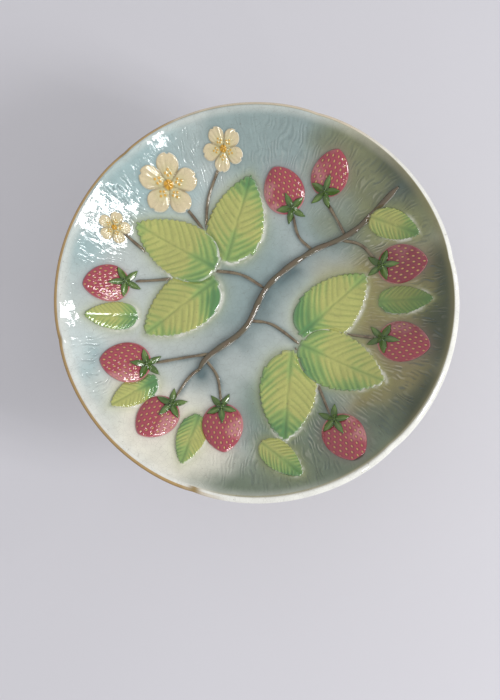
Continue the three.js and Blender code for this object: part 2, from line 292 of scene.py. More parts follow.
class CompoteSizes(bpy.types.PropertyGroup):
    """Sizes of the compote."""

    rim_diameter: length_property("Rim", "Diameter over the lobes of the rim", span_of("dish", 1))
    height: length_property("Height", "From the table to the top of the lip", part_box("dish")[1].z)
    depth: length_property("Depth", "From the lip down to the well", 28 * MM)
    well_diameter: length_property("Well", "Diameter of the flat middle", 112 * MM)
    wall: length_property("Wall", "Thickness of the dish at the well", 6 * MM)
    lip: length_property("Lip", "Thickness of the dish at the rim", 4 * MM)
    foot_diameter: length_property("Foot", "Diameter of the foot on the table", span_of("pedestal", 0))
    waist_diameter: length_property("Waist", "Diameter of the foot's narrowest part", 44 * MM)
    waist_height: length_property("Waist height", "Height of the narrowest part", 38 * MM)
    collar_diameter: length_property("Collar", "Diameter of the foot where it meets the dish", 70 * MM)
    foot_wall: length_property("Foot wall", "Thickness of the foot", 5 * MM)
    leaf_length: length_property("Leaf length", "Length of a large leaf", 54 * MM)
    leaf_width: length_property("Leaf width", "Width of a large leaf", 40 * MM)
    small_leaf_length: length_property("Small leaf length", "Length of a small leaf", 30 * MM)
    small_leaf_width: length_property("Small leaf width", "Width of a small leaf", 20 * MM)
    berry_length: length_property("Berry length", "Length of a full-grown berry", 28 * MM)
    berry_width: length_property("Berry width", "Width of a full-grown berry", 26 * MM)
    calyx_span: length_property("Calyx", "Span of a berry's calyx", 19 * MM)
    blossom_span: length_property("Blossom", "Span of the largest blossom", 34 * MM)
    stem: length_property("Stem", "Thickness of a thin stem", 1.8 * MM)
    trunk: length_property("Trunk", "Thickness of the main stem", 3.4 * MM)


class CompoteGlazes(bpy.types.PropertyGroup):
    """Colours of the glazes."""

    ground: colour_property("Ground", "Pale grey over most of the dish", "bdc6c4")
    teal: colour_property("Teal", "Blue-green sprayed along the left and top of the rim", "a0b9bb")
    frost: colour_property("Frost", "Pale blue-white low on the left wall", "cbd7d7")
    mist: colour_property("Mist", "Blue-grey round the middle of the dish", "92a5a5")
    cream: colour_property("Cream", "Bare cream on the lower left and the underside", "eae7d9")
    slate: colour_property("Slate", "Slate blue low in the middle of the dish", "70867e")
    dusk: colour_property("Dusk", "Slate blue sprayed beside the stems", "586e72")
    moss: colour_property("Moss", "Grey-green low on the wall", "6d7c67")
    khaki: colour_property("Khaki", "Khaki on the right of the dish", "8f8657")
    olive: colour_property("Olive", "Olive grey on the upper right of the dish", "7f8460")
    shade: colour_property("Shade", "Dark green-grey on the right wall", "394429")
    ground_pool: colour_property("Ground pool", "Blue-grey where the ground's glaze pools", "47585a")
    ochre: colour_property("Ochre", "Line round the lip", "c09d5f")
    # Painted shade: brown on the lip's outer edge on the left, which faces away from the window.
    ochre_shade: colour_property("Deep ochre", "Brown along the lip's outer edge", "7d5f30")
    stain: colour_property("Stain", "Brown in the notches of the rim", "94793f")
    break_white: colour_property("Broken glaze", "White where the glaze thins over an edge", "ebebe4")
    craze: colour_property("Craze", "Grey-brown of the fine cracks", "5d5547")
    speck: colour_property("Speck", "Brown of the specks in the glaze", "6b5f4c")
    leaf: colour_property("Leaf", "Yellow-green of the leaves", "b4b767")
    leaf_mid: colour_property("Mid leaf", "Softer green between the two", "90ad5f")
    leaf_deep: colour_property("Deep leaf", "Green sprayed along ribs and tips", "558a50")
    leaf_pool: colour_property("Leaf pool", "Green where the leaves' glaze pools", "5c7437")
    berry: colour_property("Berry", "Crimson of the berries", "a63c4e")
    berry_deep: colour_property("Deep berry", "Dark red where the glaze pools", "701d2f")
    berry_pale: colour_property("Pale berry", "Pink where the glaze thins", "cf8f92")
    seed: colour_property("Seed", "Straw colour of the seeds", "d9b56a")
    calyx: colour_property("Calyx", "Green of the calyxes", "406018")
    calyx_pool: colour_property("Calyx pool", "Dark green between the sepals", "23401f")
    petal: colour_property("Petal", "Cream of the blossoms", "d8c8a3")
    petal_pool: colour_property("Petal pool", "Brown between the petals", "8a7a52")
    eye: colour_property("Eye", "Golden yellow of the blossoms' eyes", "dba326")
    bark: colour_property("Bark", "Dark grey-brown of the trunk", "4a473b")
    stem: colour_property("Stem", "Grey-brown of the thin stems", "706756")
    # Stem dark: real dark flecks in the stems, and the painted shade on the lower side of each roll.
    stem_dark_and_shade: colour_property("Deep stem", "Dark brown in the stems' hollows", "51453c")
    foot_pool: colour_property("Foot pool", "Blue-grey where the foot's glaze pools", "5d7478")
    slip: colour_property("Slip", "Fired slip at the joint", "d2c6ae")
    slip_pool: colour_property("Slip pool", "Brown in the slip's hollows", "8f806a")
    floor: colour_property("Floor", "Pale floor under the dish", "d7d6dd")
    floor_cloud: colour_property("Floor cloud", "Darker clouds on the floor", "c2bcc0")


def millimetres(name):
    return getattr(bpy.context.scene.compote_sizes, name) / MM


def glaze(name):
    return (*getattr(bpy.context.scene.compote_glazes, name), 1)


# Shapes of numbers


def smooth(value, low, high):
    share = np.clip((value - low) / (high - low), 0, 1)
    return share * share * (3 - 2 * share)


def mix(a, b, share):
    return a + (b - a) * share


def fade(distance, spread):
    """1 at or inside an edge, and dying away outside it."""
    return np.exp(-np.maximum(distance, 0) / spread)


def bell(value, width):
    return np.exp(-((value / width) ** 2))


def dome(share, power=2, fullness=0.5):
    """A crown that is 1 in the middle and falls to 0 at the edge, where the share is 1."""
    return np.maximum(0, 1 - share**power) ** fullness


def facing(turns, bearing):
    """1 on the side of a bearing, and 0 on the side away from it."""
    return 0.5 + 0.5 * np.cos(turns - bearing)


def scatter(column, row, seed):
    """An even spread of numbers from 0 to 1, the same for the same column, row and seed."""
    mixed = column.astype(np.int64).astype(np.uint32) * np.uint32(374761393)
    mixed = mixed + row.astype(np.int64).astype(np.uint32) * np.uint32(668265263) + np.uint32(seed * 7919)
    mixed = (mixed ^ (mixed >> np.uint32(13))) * np.uint32(1274126177)
    return ((mixed ^ (mixed >> np.uint32(16))) & np.uint32(0xFFFF)) / 65535


def cloud(x, y, seed, wrap=0):
    """Smooth noise from 0 to 1 with cells of size 1. A wrap joins its columns round a full turn."""
    column, row = np.floor(x), np.floor(y)
    across, up = smooth(x - column, 0, 1), smooth(y - row, 0, 1)

    def corner(right, top):
        at = column + right
        return scatter(at % wrap if wrap else at, row + top, seed)

    low = mix(corner(0, 0), corner(1, 0), across)
    high = mix(corner(0, 1), corner(1, 1), across)
    return mix(low, high, up)


# Meshes


def full_turn(count):
    return np.arange(count) * TURN / count


def ring_start(ring):
    return 1 + 3 * ring * (ring - 1) if ring else 0


def disc(rings):
    """A unit disc of even triangles: each point's share of the radius, its turn, and the faces."""
    shares, turns, faces = [np.zeros(1)], [np.zeros(1)], []
    for ring in range(1, rings + 1):
        count, inner = 6 * ring, ring - 1
        shares.append(np.full(count, ring / rings))
        turns.append(full_turn(count))
        sector, step = np.repeat(np.arange(6), ring), np.tile(np.arange(ring), 6)
        held = max(6 * inner, 1)
        near = ring_start(inner) + (sector * inner + step) % held
        near_next = ring_start(inner) + (sector * inner + step + 1) % held
        far = ring_start(ring) + sector * ring + step
        far_next = ring_start(ring) + (sector * ring + step + 1) % count
        faces.append(np.stack([near, far, far_next], 1))
        faces.append(np.stack([near, far_next, near_next], 1)[step < inner])
    return np.concatenate(shares), np.concatenate(turns), np.concatenate(faces)


def strip(first, second, count):
    """Faces between two rings of as many points, by the index of each ring's first point."""
    here = np.arange(count)
    after = (here + 1) % count
    left = np.stack([first + here, second + here, second + after], 1)
    right = np.stack([first + here, second + after, first + after], 1)
    return np.concatenate([left, right])


def fan(centre, first, count):
    """Faces between one point and a ring, by their indices."""
    here = np.arange(count)
    return np.stack([first + here, np.full(count, centre), first + (here + 1) % count], 1)


def make_piece(name, points, faces, masks, material, slot):
    """A smooth mesh in millimetres that stands for the node of its name and rides on the one body."""
    mesh = bpy.data.meshes.new(name)
    mesh.from_pydata((points * MM).tolist(), [], faces.tolist())
    for mask, values in masks.items():
        layer = mesh.attributes.new(mask, "FLOAT", "POINT")
        layer.data.foreach_set("value", np.asarray(values, np.float32))
    mesh.shade_smooth()
    mesh.materials.append(material)
    piece = bpy.data.objects.new(name + "_glazed", mesh)
    bpy.context.scene.collection.objects.link(piece)
    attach(piece, "root")
    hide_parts(name)
    return piece


# Form of the dish


def dish_heights():
    """Heights and radii that the dish is built from."""
    rim = millimetres("rim_diameter") / 2 - glaze_inset
    lip, wall = millimetres("lip"), millimetres("wall")
    rise = millimetres("depth") - lip / 2 + wall / 2
    middle = millimetres("height") - lip / 2 - rise
    seat = middle - wall / 2
    return {
        "rim": rim,
        "lip_radius": rim - lip / 2,
        "well": millimetres("well_diameter") / 2,
        "rise": rise,
        "middle": middle,
        "seat": seat,
        "collar_top": seat - slip_thickness,
        "bore": millimetres("collar_diameter") / 2 - millimetres("foot_wall"),
    }


def wall_line(shares, side):
    """Radius and height along one side of the dish's wall: 1 is the glazed face, -1 the underside."""
    form = dish_heights()
    run = form["lip_radius"] - form["well"]
    half = side * mix(millimetres("wall"), millimetres("lip"), shares) / 2
    steep = np.arctan(form["rise"] * wall_sweep * shares ** (wall_sweep - 1) / run)
    radius = form["well"] + run * shares - half * np.sin(steep)
    height = form["middle"] + form["rise"] * shares**wall_sweep + half * np.cos(steep)
    return radius, height


def face_height(x, y):
    radius, height = wall_line(np.linspace(0, 1, 400), 1)
    return np.interp(np.hypot(x, y), radius, height)


def past_notch(turns):
    """How far a turn is from the nearest notch of the rim."""
    step = TURN / lobe_count
    return np.abs((turns - first_notch + step / 2) % step - step / 2)


def nip(x, y):
    """Pulls the rim in at the notches between its lobes."""
    rim = dish_heights()["rim"]
    radius = np.maximum(np.hypot(x, y), 1e-6)
    notch = notch_depth * fade(past_notch(np.arctan2(y, x)), notch_spread)
    keep = 1 - notch * smooth(radius, rim - notch_reach, rim) / radius
    return x * keep, y * keep


def lip_line():
    """The lip, from the face over the crest to the underside, rubbed flat on its outer shoulder."""
    form = dish_heights()
    round_radius = millimetres("lip") / 2
    radius, height = wall_line(np.ones(1), 1)
    centre = (form["lip_radius"], form["middle"] + form["rise"])
    start = math.atan2(height[0] - centre[1], radius[0] - centre[0])
    angles = np.linspace(start, start - math.pi, lip_rings + 1)
    line = np.stack([np.cos(angles), np.sin(angles)], 1)
    first, last = (np.array([math.cos(a), math.sin(a)]) for a in np.radians(lip_shoulder))
    shoulder = np.radians(lip_shoulder[0] - lip_shoulder[1])
    along = np.clip((np.radians(lip_shoulder[0]) - angles) / shoulder, 0, 1)
    flat = first + (last - first) * along[:, None]
    held = (along > 0) & (along < 1)
    line[held] = mix(line[held], flat[held], lip_flatness)
    return centre[0] + round_radius * line[:, 0], centre[1] + round_radius * line[:, 1]


# Sprigs: outlines, places and the order they lie in


def teardrop(length, width, taper):
    def outline(turn):
        narrowing = np.abs(np.sin((turn % TURN) / 2)) ** taper
        return length / 2 * np.cos(turn), width / 2 * np.sin(turn) * narrowing

    return outline


def pointed_star(span, points, root, keenness):
    def outline(turn):
        past = np.abs((turn * points / TURN + 0.5) % 1 - 0.5) * 2
        reach = span / 2 * mix(root, 1, 1 - past**keenness)
        return reach * np.cos(turn), reach * np.sin(turn)

    return outline


def rounded_star(span, points, root, taper):
    def outline(turn):
        reach = span / 2 * mix(root, 1, np.abs(np.cos(turn * points / 2)) ** taper)
        return reach * np.cos(turn), reach * np.sin(turn)

    return outline


def on_dish(at):
    return np.array(at) * millimetres("rim_diameter") / 2


class Sprig:
    """One pressed ornament: its name, outline, middle on the dish and heading."""

    def __init__(self, name, outline, middle, heading, length, width):
        self.name = name
        self.outline = outline
        self.middle = middle
        self.heading = heading
        self.length = length
        self.width = width
        along, across = outline(np.linspace(0, TURN, 1441))
        bearing = np.arctan2(across, along) % TURN
        order = np.argsort(bearing)
        self.bearings = bearing[order]
        self.reaches = np.hypot(along, across)[order]

    def place(self, along, across):
        """Points of the sprig on the dish, kept clear of the lip."""
        x = self.middle[0] + along * math.cos(self.heading) - across * math.sin(self.heading)
        y = self.middle[1] + along * math.sin(self.heading) + across * math.cos(self.heading)
        field = millimetres("rim_diameter") / 2 - millimetres("lip") - relief_margin
        keep = np.minimum(1, field / np.maximum(np.hypot(x, y), 1e-6))
        return x * keep, y * keep

    def measure(self, x, y):
        """How far points of the dish lie from the middle, and the outline's reach on that bearing."""
        right, up = x - self.middle[0], y - self.middle[1]
        along = right * math.cos(self.heading) + up * math.sin(self.heading)
        across = up * math.cos(self.heading) - right * math.sin(self.heading)
        bearing = np.arctan2(across, along) % TURN
        return np.hypot(along, across), np.interp(bearing, self.bearings, self.reaches, period=TURN)

    def off(self, x, y):
        """How far points of the dish lie outside the outline, negative inside it."""
        away, reach = self.measure(x, y)
        return away - reach


def through(corners, spacing):
    """A smooth line through corners, with points about a spacing apart."""
    padded = np.vstack([2 * corners[0] - corners[1], corners, 2 * corners[-1] - corners[-2]])
    points = []
    for before, start, end, after in zip(padded, padded[1:], padded[2:], padded[3:]):
        slope = end - before
        bend = 2 * before - 5 * start + 4 * end - after
        twist = 3 * start - before - 3 * end + after
        count = max(2, int(np.hypot(*(end - start)) / spacing))
        for share in np.arange(count) / count:
            points.append(0.5 * (2 * start + slope * share + bend * share**2 + twist * share**3))
    return np.array([*points, corners[-1]])


class Stem:
    """One rolled stem: its name, its line on the dish and its thickness."""

    def __init__(self, name, route, thickness):
        self.name = name
        self.thickness = thickness
        self.line = through(on_dish(route), stem_spacing)

    def off(self, x, y):
        closest = np.full(len(x), 1e6)
        for point in self.line:
            closest = np.minimum(closest, np.hypot(x - point[0], y - point[1]))
        return closest - self.thickness / 2


def sprigs_of(kind, places, form):
    """Sprigs of one kind. The form gives an outline, length, width and shift ahead for each size."""
    sprigs = []
    for i, (at, degrees, size) in enumerate(places):
        outline, length, width, shift = form(size)
        heading = math.radians(degrees)
        middle = on_dish(at) + shift * np.array([math.cos(heading), math.sin(heading)])
        sprigs.append(Sprig(f"{kind}_{i + 1}", outline, middle, heading, length, width))
    return sprigs


def leaf_sprigs():
    def form(size):
        length, width = millimetres(size + "_length"), millimetres(size + "_width")
        return teardrop(length, width, leaf_taper), length, width, length / 2

    return sprigs_of("leaf", leaf_places, form)


def berry_sprigs():
    def form(grown):
        length, width = millimetres("berry_length") * grown, millimetres("berry_width") * grown
        return teardrop(length, width, berry_taper), length, width, 0

    return sprigs_of("berry", berry_places, form)


def calyx_sprigs():
    def form(grown):
        span = millimetres("calyx_span")
        shift = -millimetres("berry_length") * grown * calyx_seat
        return pointed_star(span, sepal_count, *sepal_form), span, span, shift

    return sprigs_of("calyx", berry_places, form)


def blossom_sprigs():
    def form(grown):
        span = millimetres("blossom_span") * grown
        return rounded_star(span, petal_count, *petal_form), span, span, 0

    return sprigs_of("blossom", blossom_places, form)


def stems():
    thin = [Stem(f"stem_{i + 1}", route, millimetres("stem")) for i, route in enumerate(stem_routes)]
    return [Stem("trunk", trunk_route, millimetres("trunk")), *thin]


def nearest(sprigs, x, y):
    """How far points of the dish lie from the nearest of some sprigs."""
    return np.min([sprig.off(x, y) for sprig in sprigs], axis=0)


def leaf_halo(x, y):
    """White on the ground beside each leaf, on the side toward the window: glaze run thin there, and partly a
    painted highlight.
    """
    halo = np.zeros(len(x))
    for leaf in leaf_sprigs():
        bearing = np.arctan2(y - leaf.middle[1], x - leaf.middle[0])
        lit_side = smooth(np.cos(bearing - lit_edge_bearing), -0.3, 0.6)
        halo = np.maximum(halo, lit_side * bell(np.maximum(leaf.off(x, y), 0), halo_width))
    return halo


def tuck_under(uppers):
    """Fits heights to the sprigs that lie over them: dipped beside each one, and sunk below it."""

    def settle(x, y, height):
        for upper in uppers:
            off = upper.off(x, y)
            height = mix(np.minimum(height, tuck_height), height, smooth(off, 0, tuck))
            height = mix(-sink, height, smooth(off, -tuck, -tuck / 3))
        return height

    return settle


def press(sprig, rings, shape, settle, material, slot):
    """Makes a sprig and seats it on the dish. The shape gives local points, heights over the face and masks.
    Settle then fits the heights to what lies over or under them."""
    shares, turns, faces = disc(rings)
    edge_along, edge_across = sprig.outline(turns)
    along, across, height, masks = shape(shares, turns, edge_along * shares, edge_across * shares)
    x, y = sprig.place(along, across)
    floor = face_height(x, y)
    top = np.stack([x, y, floor + settle(x, y, height)], 1)
    base = np.stack([x, y, floor - 2 * sink], 1)
    rim, low = ring_start(rings), len(top)
    masks = {name: np.concatenate([values, values]) for name, values in masks.items()}
    faces = np.concatenate([faces, strip(rim, low + rim, 6 * rings), low + faces[:, ::-1]])
    make_piece(sprig.name, np.concatenate([top, base]), faces, masks, material, slot)


# Shaders


class Nodes:
    """Writes the nodes of one material or group. An input is a socket to link or a value to set."""

    def __init__(self, tree):
        self.tree = tree
        self.kept_place = None

    def add(self, kind, inputs=None, **settings):
        """Adds a node with its settings, and its inputs by name or number. Gives its outputs."""
        made = self.tree.nodes.new(kind)
        for name, value in settings.items():
            setattr(made, name, value)
        for name, value in (inputs or {}).items():
            if isinstance(value, bpy.types.NodeSocket):
                self.tree.links.new(value, made.inputs[name])
            else:
                made.inputs[name].default_value = value
        return made.outputs

    @property
    def place(self):
        """The point on the object, in metres."""
        if self.kept_place is None:
            self.kept_place = self.add("ShaderNodeTexCoord")["Object"]
        return self.kept_place

    def figure(self, operation, first, second=0.0):
        return self.add("ShaderNodeMath", {0: first, 1: second}, operation=operation)[0]

    def times(self, first, *others):
        for other in others:
            first = self.figure("MULTIPLY", first, other)
        return first

    def plus(self, first, second):
        return self.figure("ADD", first, second)

    def most(self, first, second):
        return self.figure("MAXIMUM", first, second)

    def vector(self, operation, first, second=(0, 0, 0), scale=1.0):
        inputs = {0: first, 1: second, 3: scale}
        made = self.add("ShaderNodeVectorMath", inputs, operation=operation)
        return made["Value" if operation in ("LENGTH", "DISTANCE") else "Vector"]

    def ranged(self, value, low, high, to_low=0.0, to_high=1.0):
        names = {"Value": value, "From Min": low, "From Max": high, "To Min": to_low, "To Max": to_high}
        return self.add("ShaderNodeMapRange", names, interpolation_type="SMOOTHSTEP")["Result"]

    def mask(self, name):
        return self.add("ShaderNodeAttribute", attribute_name=name)["Fac"]

    def grain(self, scale, detail=2.0, place=None):
        inputs = {"Vector": place or self.place, "Scale": scale, "Detail": detail}
        return self.add("ShaderNodeTexNoise", inputs)["Fac"]

    def blend(self, share, low, high):
        """A mix of two colours by a mask."""
        return self.add("ShaderNodeMix", {0: share, 6: low, 7: high}, data_type="RGBA")[2]

    def spray(self, under, name, share):
        """Lays one of the glazes over a colour, as far as a mask says."""
        return self.blend(share, under, glaze(name))

    def patch(self, centre, reach, softness):
        inputs = {"Centre": [c * MM for c in centre], "Reach": reach * MM, "Softness": softness * MM}
        return self.add("ShaderNodeGroup", inputs, node_tree=sprayed_patch())["Mask"]


def shared_group(name, inputs, outputs, fill):
    """A node group, made on its first use. Fill writes its nodes and gives the sockets that it puts out."""
    known = bpy.data.node_groups.get(name)
    if known:
        return known
    tree = bpy.data.node_groups.new(name, "ShaderNodeTree")
    for title, kind, default in inputs:
        socket = tree.interface.new_socket(title, in_out="INPUT", socket_type="NodeSocket" + kind)
        socket.default_value = default
    for title, kind in outputs:
        tree.interface.new_socket(title, in_out="OUTPUT", socket_type="NodeSocket" + kind)
    nodes = Nodes(tree)
    nodes.add("NodeGroupOutput", fill(nodes, nodes.add("NodeGroupInput")))
    return tree


def sprayed_patch():
    """A soft patch of sprayed colour: a mask that fades out round a centre with an uneven edge."""
    inputs = [("Centre", "Vector", (0, 0, 0)), ("Reach", "Float", 0.04), ("Softness", "Float", 0.03)]

    def fill(nodes, given):
        noise = {"Vector": nodes.place, "Scale": 26, "Detail": 2.0}
        drift = nodes.add("ShaderNodeTexNoise", noise)["Color"]
        pushed = nodes.vector("SCALE", nodes.vector("SUBTRACT", drift, (0.5, 0.5, 0.5)), scale=0.045)
        away = nodes.vector("DISTANCE", nodes.vector("ADD", nodes.place, pushed), given["Centre"])
        edge = nodes.plus(given["Reach"], given["Softness"])
        return {"Mask": nodes.ranged(away, edge, given["Reach"])}

    return shared_group("sprayed patch", inputs, [("Mask", "Float")], fill)


def fired_glaze():
    """Glaze over colour, mottled, crazed and wavy. It pools dark in hollows and breaks pale on edges."""
    inputs = [
        ("Color", "Color", (0.5, 0.5, 0.5, 1)),
        ("Pool", "Color", (0.1, 0.1, 0.1, 1)),
        ("Break", "Color", (0.9, 0.9, 0.9, 1)),
        ("Hollow", "Float", 0.0),
        ("Edge", "Float", 0.0),
    ]
    outputs = [("Color", "Color"), ("Roughness", "Float"), ("Height", "Float")]

    def fill(nodes, given):
        mottle, fine = nodes.grain(150, 4.0), nodes.grain(620, 3.0)
        hollow = nodes.times(given["Hollow"], nodes.ranged(mottle, 0.3, 0.7, 0.45, 1.15))
        pooled = nodes.blend(hollow, given["Color"], given["Pool"])
        edge = nodes.times(given["Edge"], nodes.ranged(nodes.grain(95), 0.36, 0.62, 0.1, 1.0))
        broken = nodes.blend(edge, pooled, given["Break"])
        toned = nodes.vector("SCALE", broken, scale=nodes.ranged(mottle, 0.25, 0.75, 0.93, 1.05))
        cells = {"Vector": nodes.place, "Scale": 330}
        cracks = nodes.add("ShaderNodeTexVoronoi", cells, feature="DISTANCE_TO_EDGE")["Distance"]
        crazed = nodes.spray(toned, "craze", nodes.ranged(cracks, 0.0, 0.035, 0.2, 0.0))
        ripple = nodes.times(nodes.grain(330, 0.0), 0.16)
        orange_peel = nodes.plus(ripple, nodes.times(fine, 0.02))
        return {
            "Color": nodes.spray(crazed, "speck", nodes.ranged(fine, 0.66, 0.76, 0.0, 0.35)),
            "Roughness": nodes.ranged(fine, 0.3, 0.7, 0.03, 0.08),
            "Height": nodes.plus(nodes.times(nodes.grain(110, 1.0), 0.8), orange_peel),
        }

    return shared_group("fired glaze", inputs, outputs, fill)


def glazed_material(name, colours, pool, broken="break_white", wave=0.25, coat=0.7, bare=None):
    """A glossy glazed material, dull where the bare mask says. Colours gives a colour, a mask of hollows
    where the pool colour lies, a mask of edges where the broken one shows, and any strokes."""
    material = bpy.data.materials.new(name)
    material.use_nodes = True
    material.node_tree.nodes.clear()
    nodes = Nodes(material.node_tree)
    colour, hollow, edge, *strokes = colours(nodes)
    inputs = {"Color": colour, "Pool": glaze(pool), "Break": glaze(broken), "Hollow": hollow, "Edge": edge}
    fired = nodes.add("ShaderNodeGroup", inputs, node_tree=fired_glaze())
    waves = {"Height": fired["Height"], "Strength": wave, "Distance": wave_depth * MM}
    bump = nodes.add("ShaderNodeBump", waves)["Normal"]
    for stroke in strokes:
        ridges = {"Height": stroke, "Strength": stroke_strength, "Distance": stroke_depth * MM}
        bump = nodes.add("ShaderNodeBump", {**ridges, "Normal": bump})["Normal"]
    roughness = fired["Roughness"]
    if bare:
        unglazed = nodes.mask(bare)
        roughness = nodes.most(roughness, nodes.times(unglazed, bare_roughness))
        coat = nodes.ranged(unglazed, 0.0, 1.0, coat, 0.0)
    finish = {
        "Base Color": fired["Color"],
        "Roughness": roughness,
        "Normal": bump,
        "Coat Weight": coat,
        "Coat Roughness": coat_roughness,
        "IOR": glaze_index,
    }
    shader = nodes.add("ShaderNodeBsdfPrincipled", finish)
    nodes.add("ShaderNodeOutputMaterial", {"Surface": shader["BSDF"]})
    return material


# Dish

# Colour, centre, reach and softness of each patch sprayed on the dish's face
ground_patches = [
    ("teal", (-98, 26, 92), 2, 30),
    ("teal", (-66, 76, 90), 14, 34),
    ("mist", (6, 98, 92), 24, 34),
    ("mist", (-12, 20, 70), 16, 40),
    ("mist", (40, 60, 76), 10, 32),
    ("frost", (-106, -32, 95), 8, 30),
    ("teal", (-92, -38, 88), 2, 18),
    ("cream", (-54, -76, 86), 22, 32),
    ("slate", (20, -60, 74), 14, 34),
    ("moss", (-12, -108, 95), 10, 28),
    ("moss", (34, -98, 90), 24, 28),
    ("khaki", (80, 2, 80), 26, 34),
    ("khaki", (74, -50, 86), 14, 30),
    ("moss", (60, 92, 94), 10, 28),
    ("olive", (78, 70, 88), 26, 34),
    ("moss", (80, -82, 95), 16, 24),
    ("shade", (100, -66, 97), 18, 18),
    ("shade", (112, -22, 96), 16, 24),
    ("shade", (126, 0, 99), 26, 22),
    ("shade", (92, 86, 98), 13, 24),
]
# Centre, reach and softness of the places that other sprayed colours are held to
stem_shade_place = ((-10, -6, 70), 44, 40)
left_fade_place = ((-100, -40, 95), 70, 60)
low_fade_place = ((4, -112, 96), 20, 34)
top_fade_place = ((0, 112, 97), 60, 50)
right_warmth_place = ((100, -5, 97), 85, 40)
left_line_place = ((-100, -10, 98), 105, 25)
top_line_place = ((-4, 110, 98), 50, 50)
low_stain_place = ((-36, -107, 97), 12, 10)
# The last place holds the dark spray over the relief on the right wall, partly painted shade where the wall
# faces away from the window.
right_shade_place = ((102, 12, 90), 16, 42)


def covered(turns):
    """Share of the lip's band that the ground colour covers at each turn."""
    return mix(*lip_wiped, facing(turns, lip_covered_bearing))


def combed(nodes):
    """Fine wavy strokes in short lengths down the wall: a mask of their ridges and one of their furrows."""
    parts = nodes.add("ShaderNodeSeparateXYZ", {0: nodes.place})
    flat = nodes.vector("MULTIPLY", nodes.place, (1, 1, 0))
    outward, reach = nodes.vector("NORMALIZE", flat), nodes.vector("LENGTH", flat)

    def uneven(around, down):
        """Noise with so many cells to a radian round the dish and to a metre down its wall."""
        wide = nodes.vector("SCALE", outward, scale=around)
        deep = nodes.add("ShaderNodeCombineXYZ", {"Z": nodes.times(reach, down)})[0]
        return nodes.grain(1.0, 1.0, nodes.vector("ADD", wide, deep))

    sway = nodes.times(nodes.figure("SUBTRACT", uneven(*comb_sway_cells), 0.5), comb_sway)
    around = nodes.times(nodes.figure("ARCTAN2", parts["Y"], parts["X"]), comb_strokes)
    wave = nodes.figure("SINE", nodes.plus(around, sway))
    lengths = nodes.ranged(uneven(*comb_length_cells), 0.42, 0.58)
    return [nodes.times(nodes.ranged(wave, 0.1 * side, 0.9 * side), lengths) for side in (1, -1)]


def lip_colours(nodes, lip, wiped):
    """The lip: an ochre line on the left, fainter along the top, with stains where colour pooled."""
    left_line, top_line = nodes.patch(*left_line_place), nodes.patch(*top_line_place)
    colour = nodes.spray(glaze("break_white"), "ochre", nodes.times(top_line, 0.2))
    lined = nodes.most(left_line, nodes.times(top_line, 0.4))
    colour = nodes.spray(colour, "ochre", nodes.times(nodes.ranged(lip, 0.36, 0.42), lined))
    # Painted shade: the ochre line darkens to brown along the lip's outer edge on the left, away from the
    # window.
    shaded_outer_edge = nodes.times(nodes.ranged(lip, 0.5, 0.68), left_line, 0.6)
    colour = nodes.spray(colour, "ochre_shade", shaded_outer_edge)
    unlined = nodes.figure("SUBTRACT", 0.8, nodes.times(left_line, 0.8))
    colour = nodes.spray(colour, "khaki", nodes.times(nodes.ranged(wiped, 0.13, 0.05), unlined))
    stained = nodes.most(nodes.times(left_line, 0.6), nodes.times(nodes.patch(*low_stain_place), 0.95))
    return nodes.spray(colour, "stain", nodes.times(nodes.mask("notched"), stained))


def rim_colours(nodes, colour):
    """The ground's colour where it thins to white inside the lip, and turns khaki on the right."""
    by_rim = nodes.mask("rim_fade")
    close_to_rim = nodes.figure("POWER", by_rim, 2.0)
    left_fade = nodes.times(nodes.patch(*left_fade_place), 0.5)
    low_fade = nodes.times(nodes.patch(*low_fade_place), 0.4)
    top_fade = nodes.times(nodes.patch(*top_fade_place), 0.4, close_to_rim)
    faded = nodes.times(by_rim, nodes.most(left_fade, low_fade))
    colour = nodes.spray(colour, "break_white", nodes.most(faded, top_fade))
    right_warmth = nodes.times(nodes.patch(*right_warmth_place), 0.5, close_to_rim)
    return nodes.spray(colour, "khaki", right_warmth)


def ground_colours(nodes):
    colour = glaze("ground")
    for name, *place in ground_patches:
        colour = nodes.spray(colour, name, nodes.patch(*place))
    drifting = nodes.ranged(nodes.grain(40), 0.36, 0.6, 0.4, 1.0)
    middle = nodes.ranged(nodes.patch(*stem_shade_place), 0.0, 1.0, 0.35, 1.0)
    colour = nodes.spray(colour, "dusk", nodes.times(nodes.mask("stem_mist"), drifting, middle))
    colour = nodes.spray(colour, "leaf", nodes.times(nodes.mask("leaf_mist"), 0.4))
    colour = nodes.spray(colour, "berry_pale", nodes.times(nodes.mask("berry_mist"), 0.15))
    on_wall = nodes.mask("combed")
    ridge, furrow = [nodes.times(line, on_wall) for line in combed(nodes)]
    colour = nodes.spray(colour, "cream", nodes.times(ridge, nodes.mask("sunlit"), 0.4))
    patchy = nodes.ranged(nodes.grain(130), 0.38, 0.6, 0.05, 0.65)
    colour = nodes.spray(colour, "break_white", nodes.times(nodes.mask("halo"), patchy))
    colour = nodes.spray(colour, "cream", nodes.mask("under"))
    colour = rim_colours(nodes, colour)
    lip, wiped = nodes.mask("lip_share"), nodes.mask("lip_wiped")
    on_lip = nodes.times(nodes.ranged(wiped, 0.0, 0.07), nodes.ranged(lip, 0.97, 0.93))
    colour = nodes.blend(on_lip, colour, lip_colours(nodes, lip, wiped))
    hollow = nodes.plus(nodes.times(nodes.mask("hollow"), 0.4), nodes.times(furrow, 0.55))
    return colour, hollow, nodes.times(ridge, 0.08), nodes.figure("SUBTRACT", ridge, furrow)


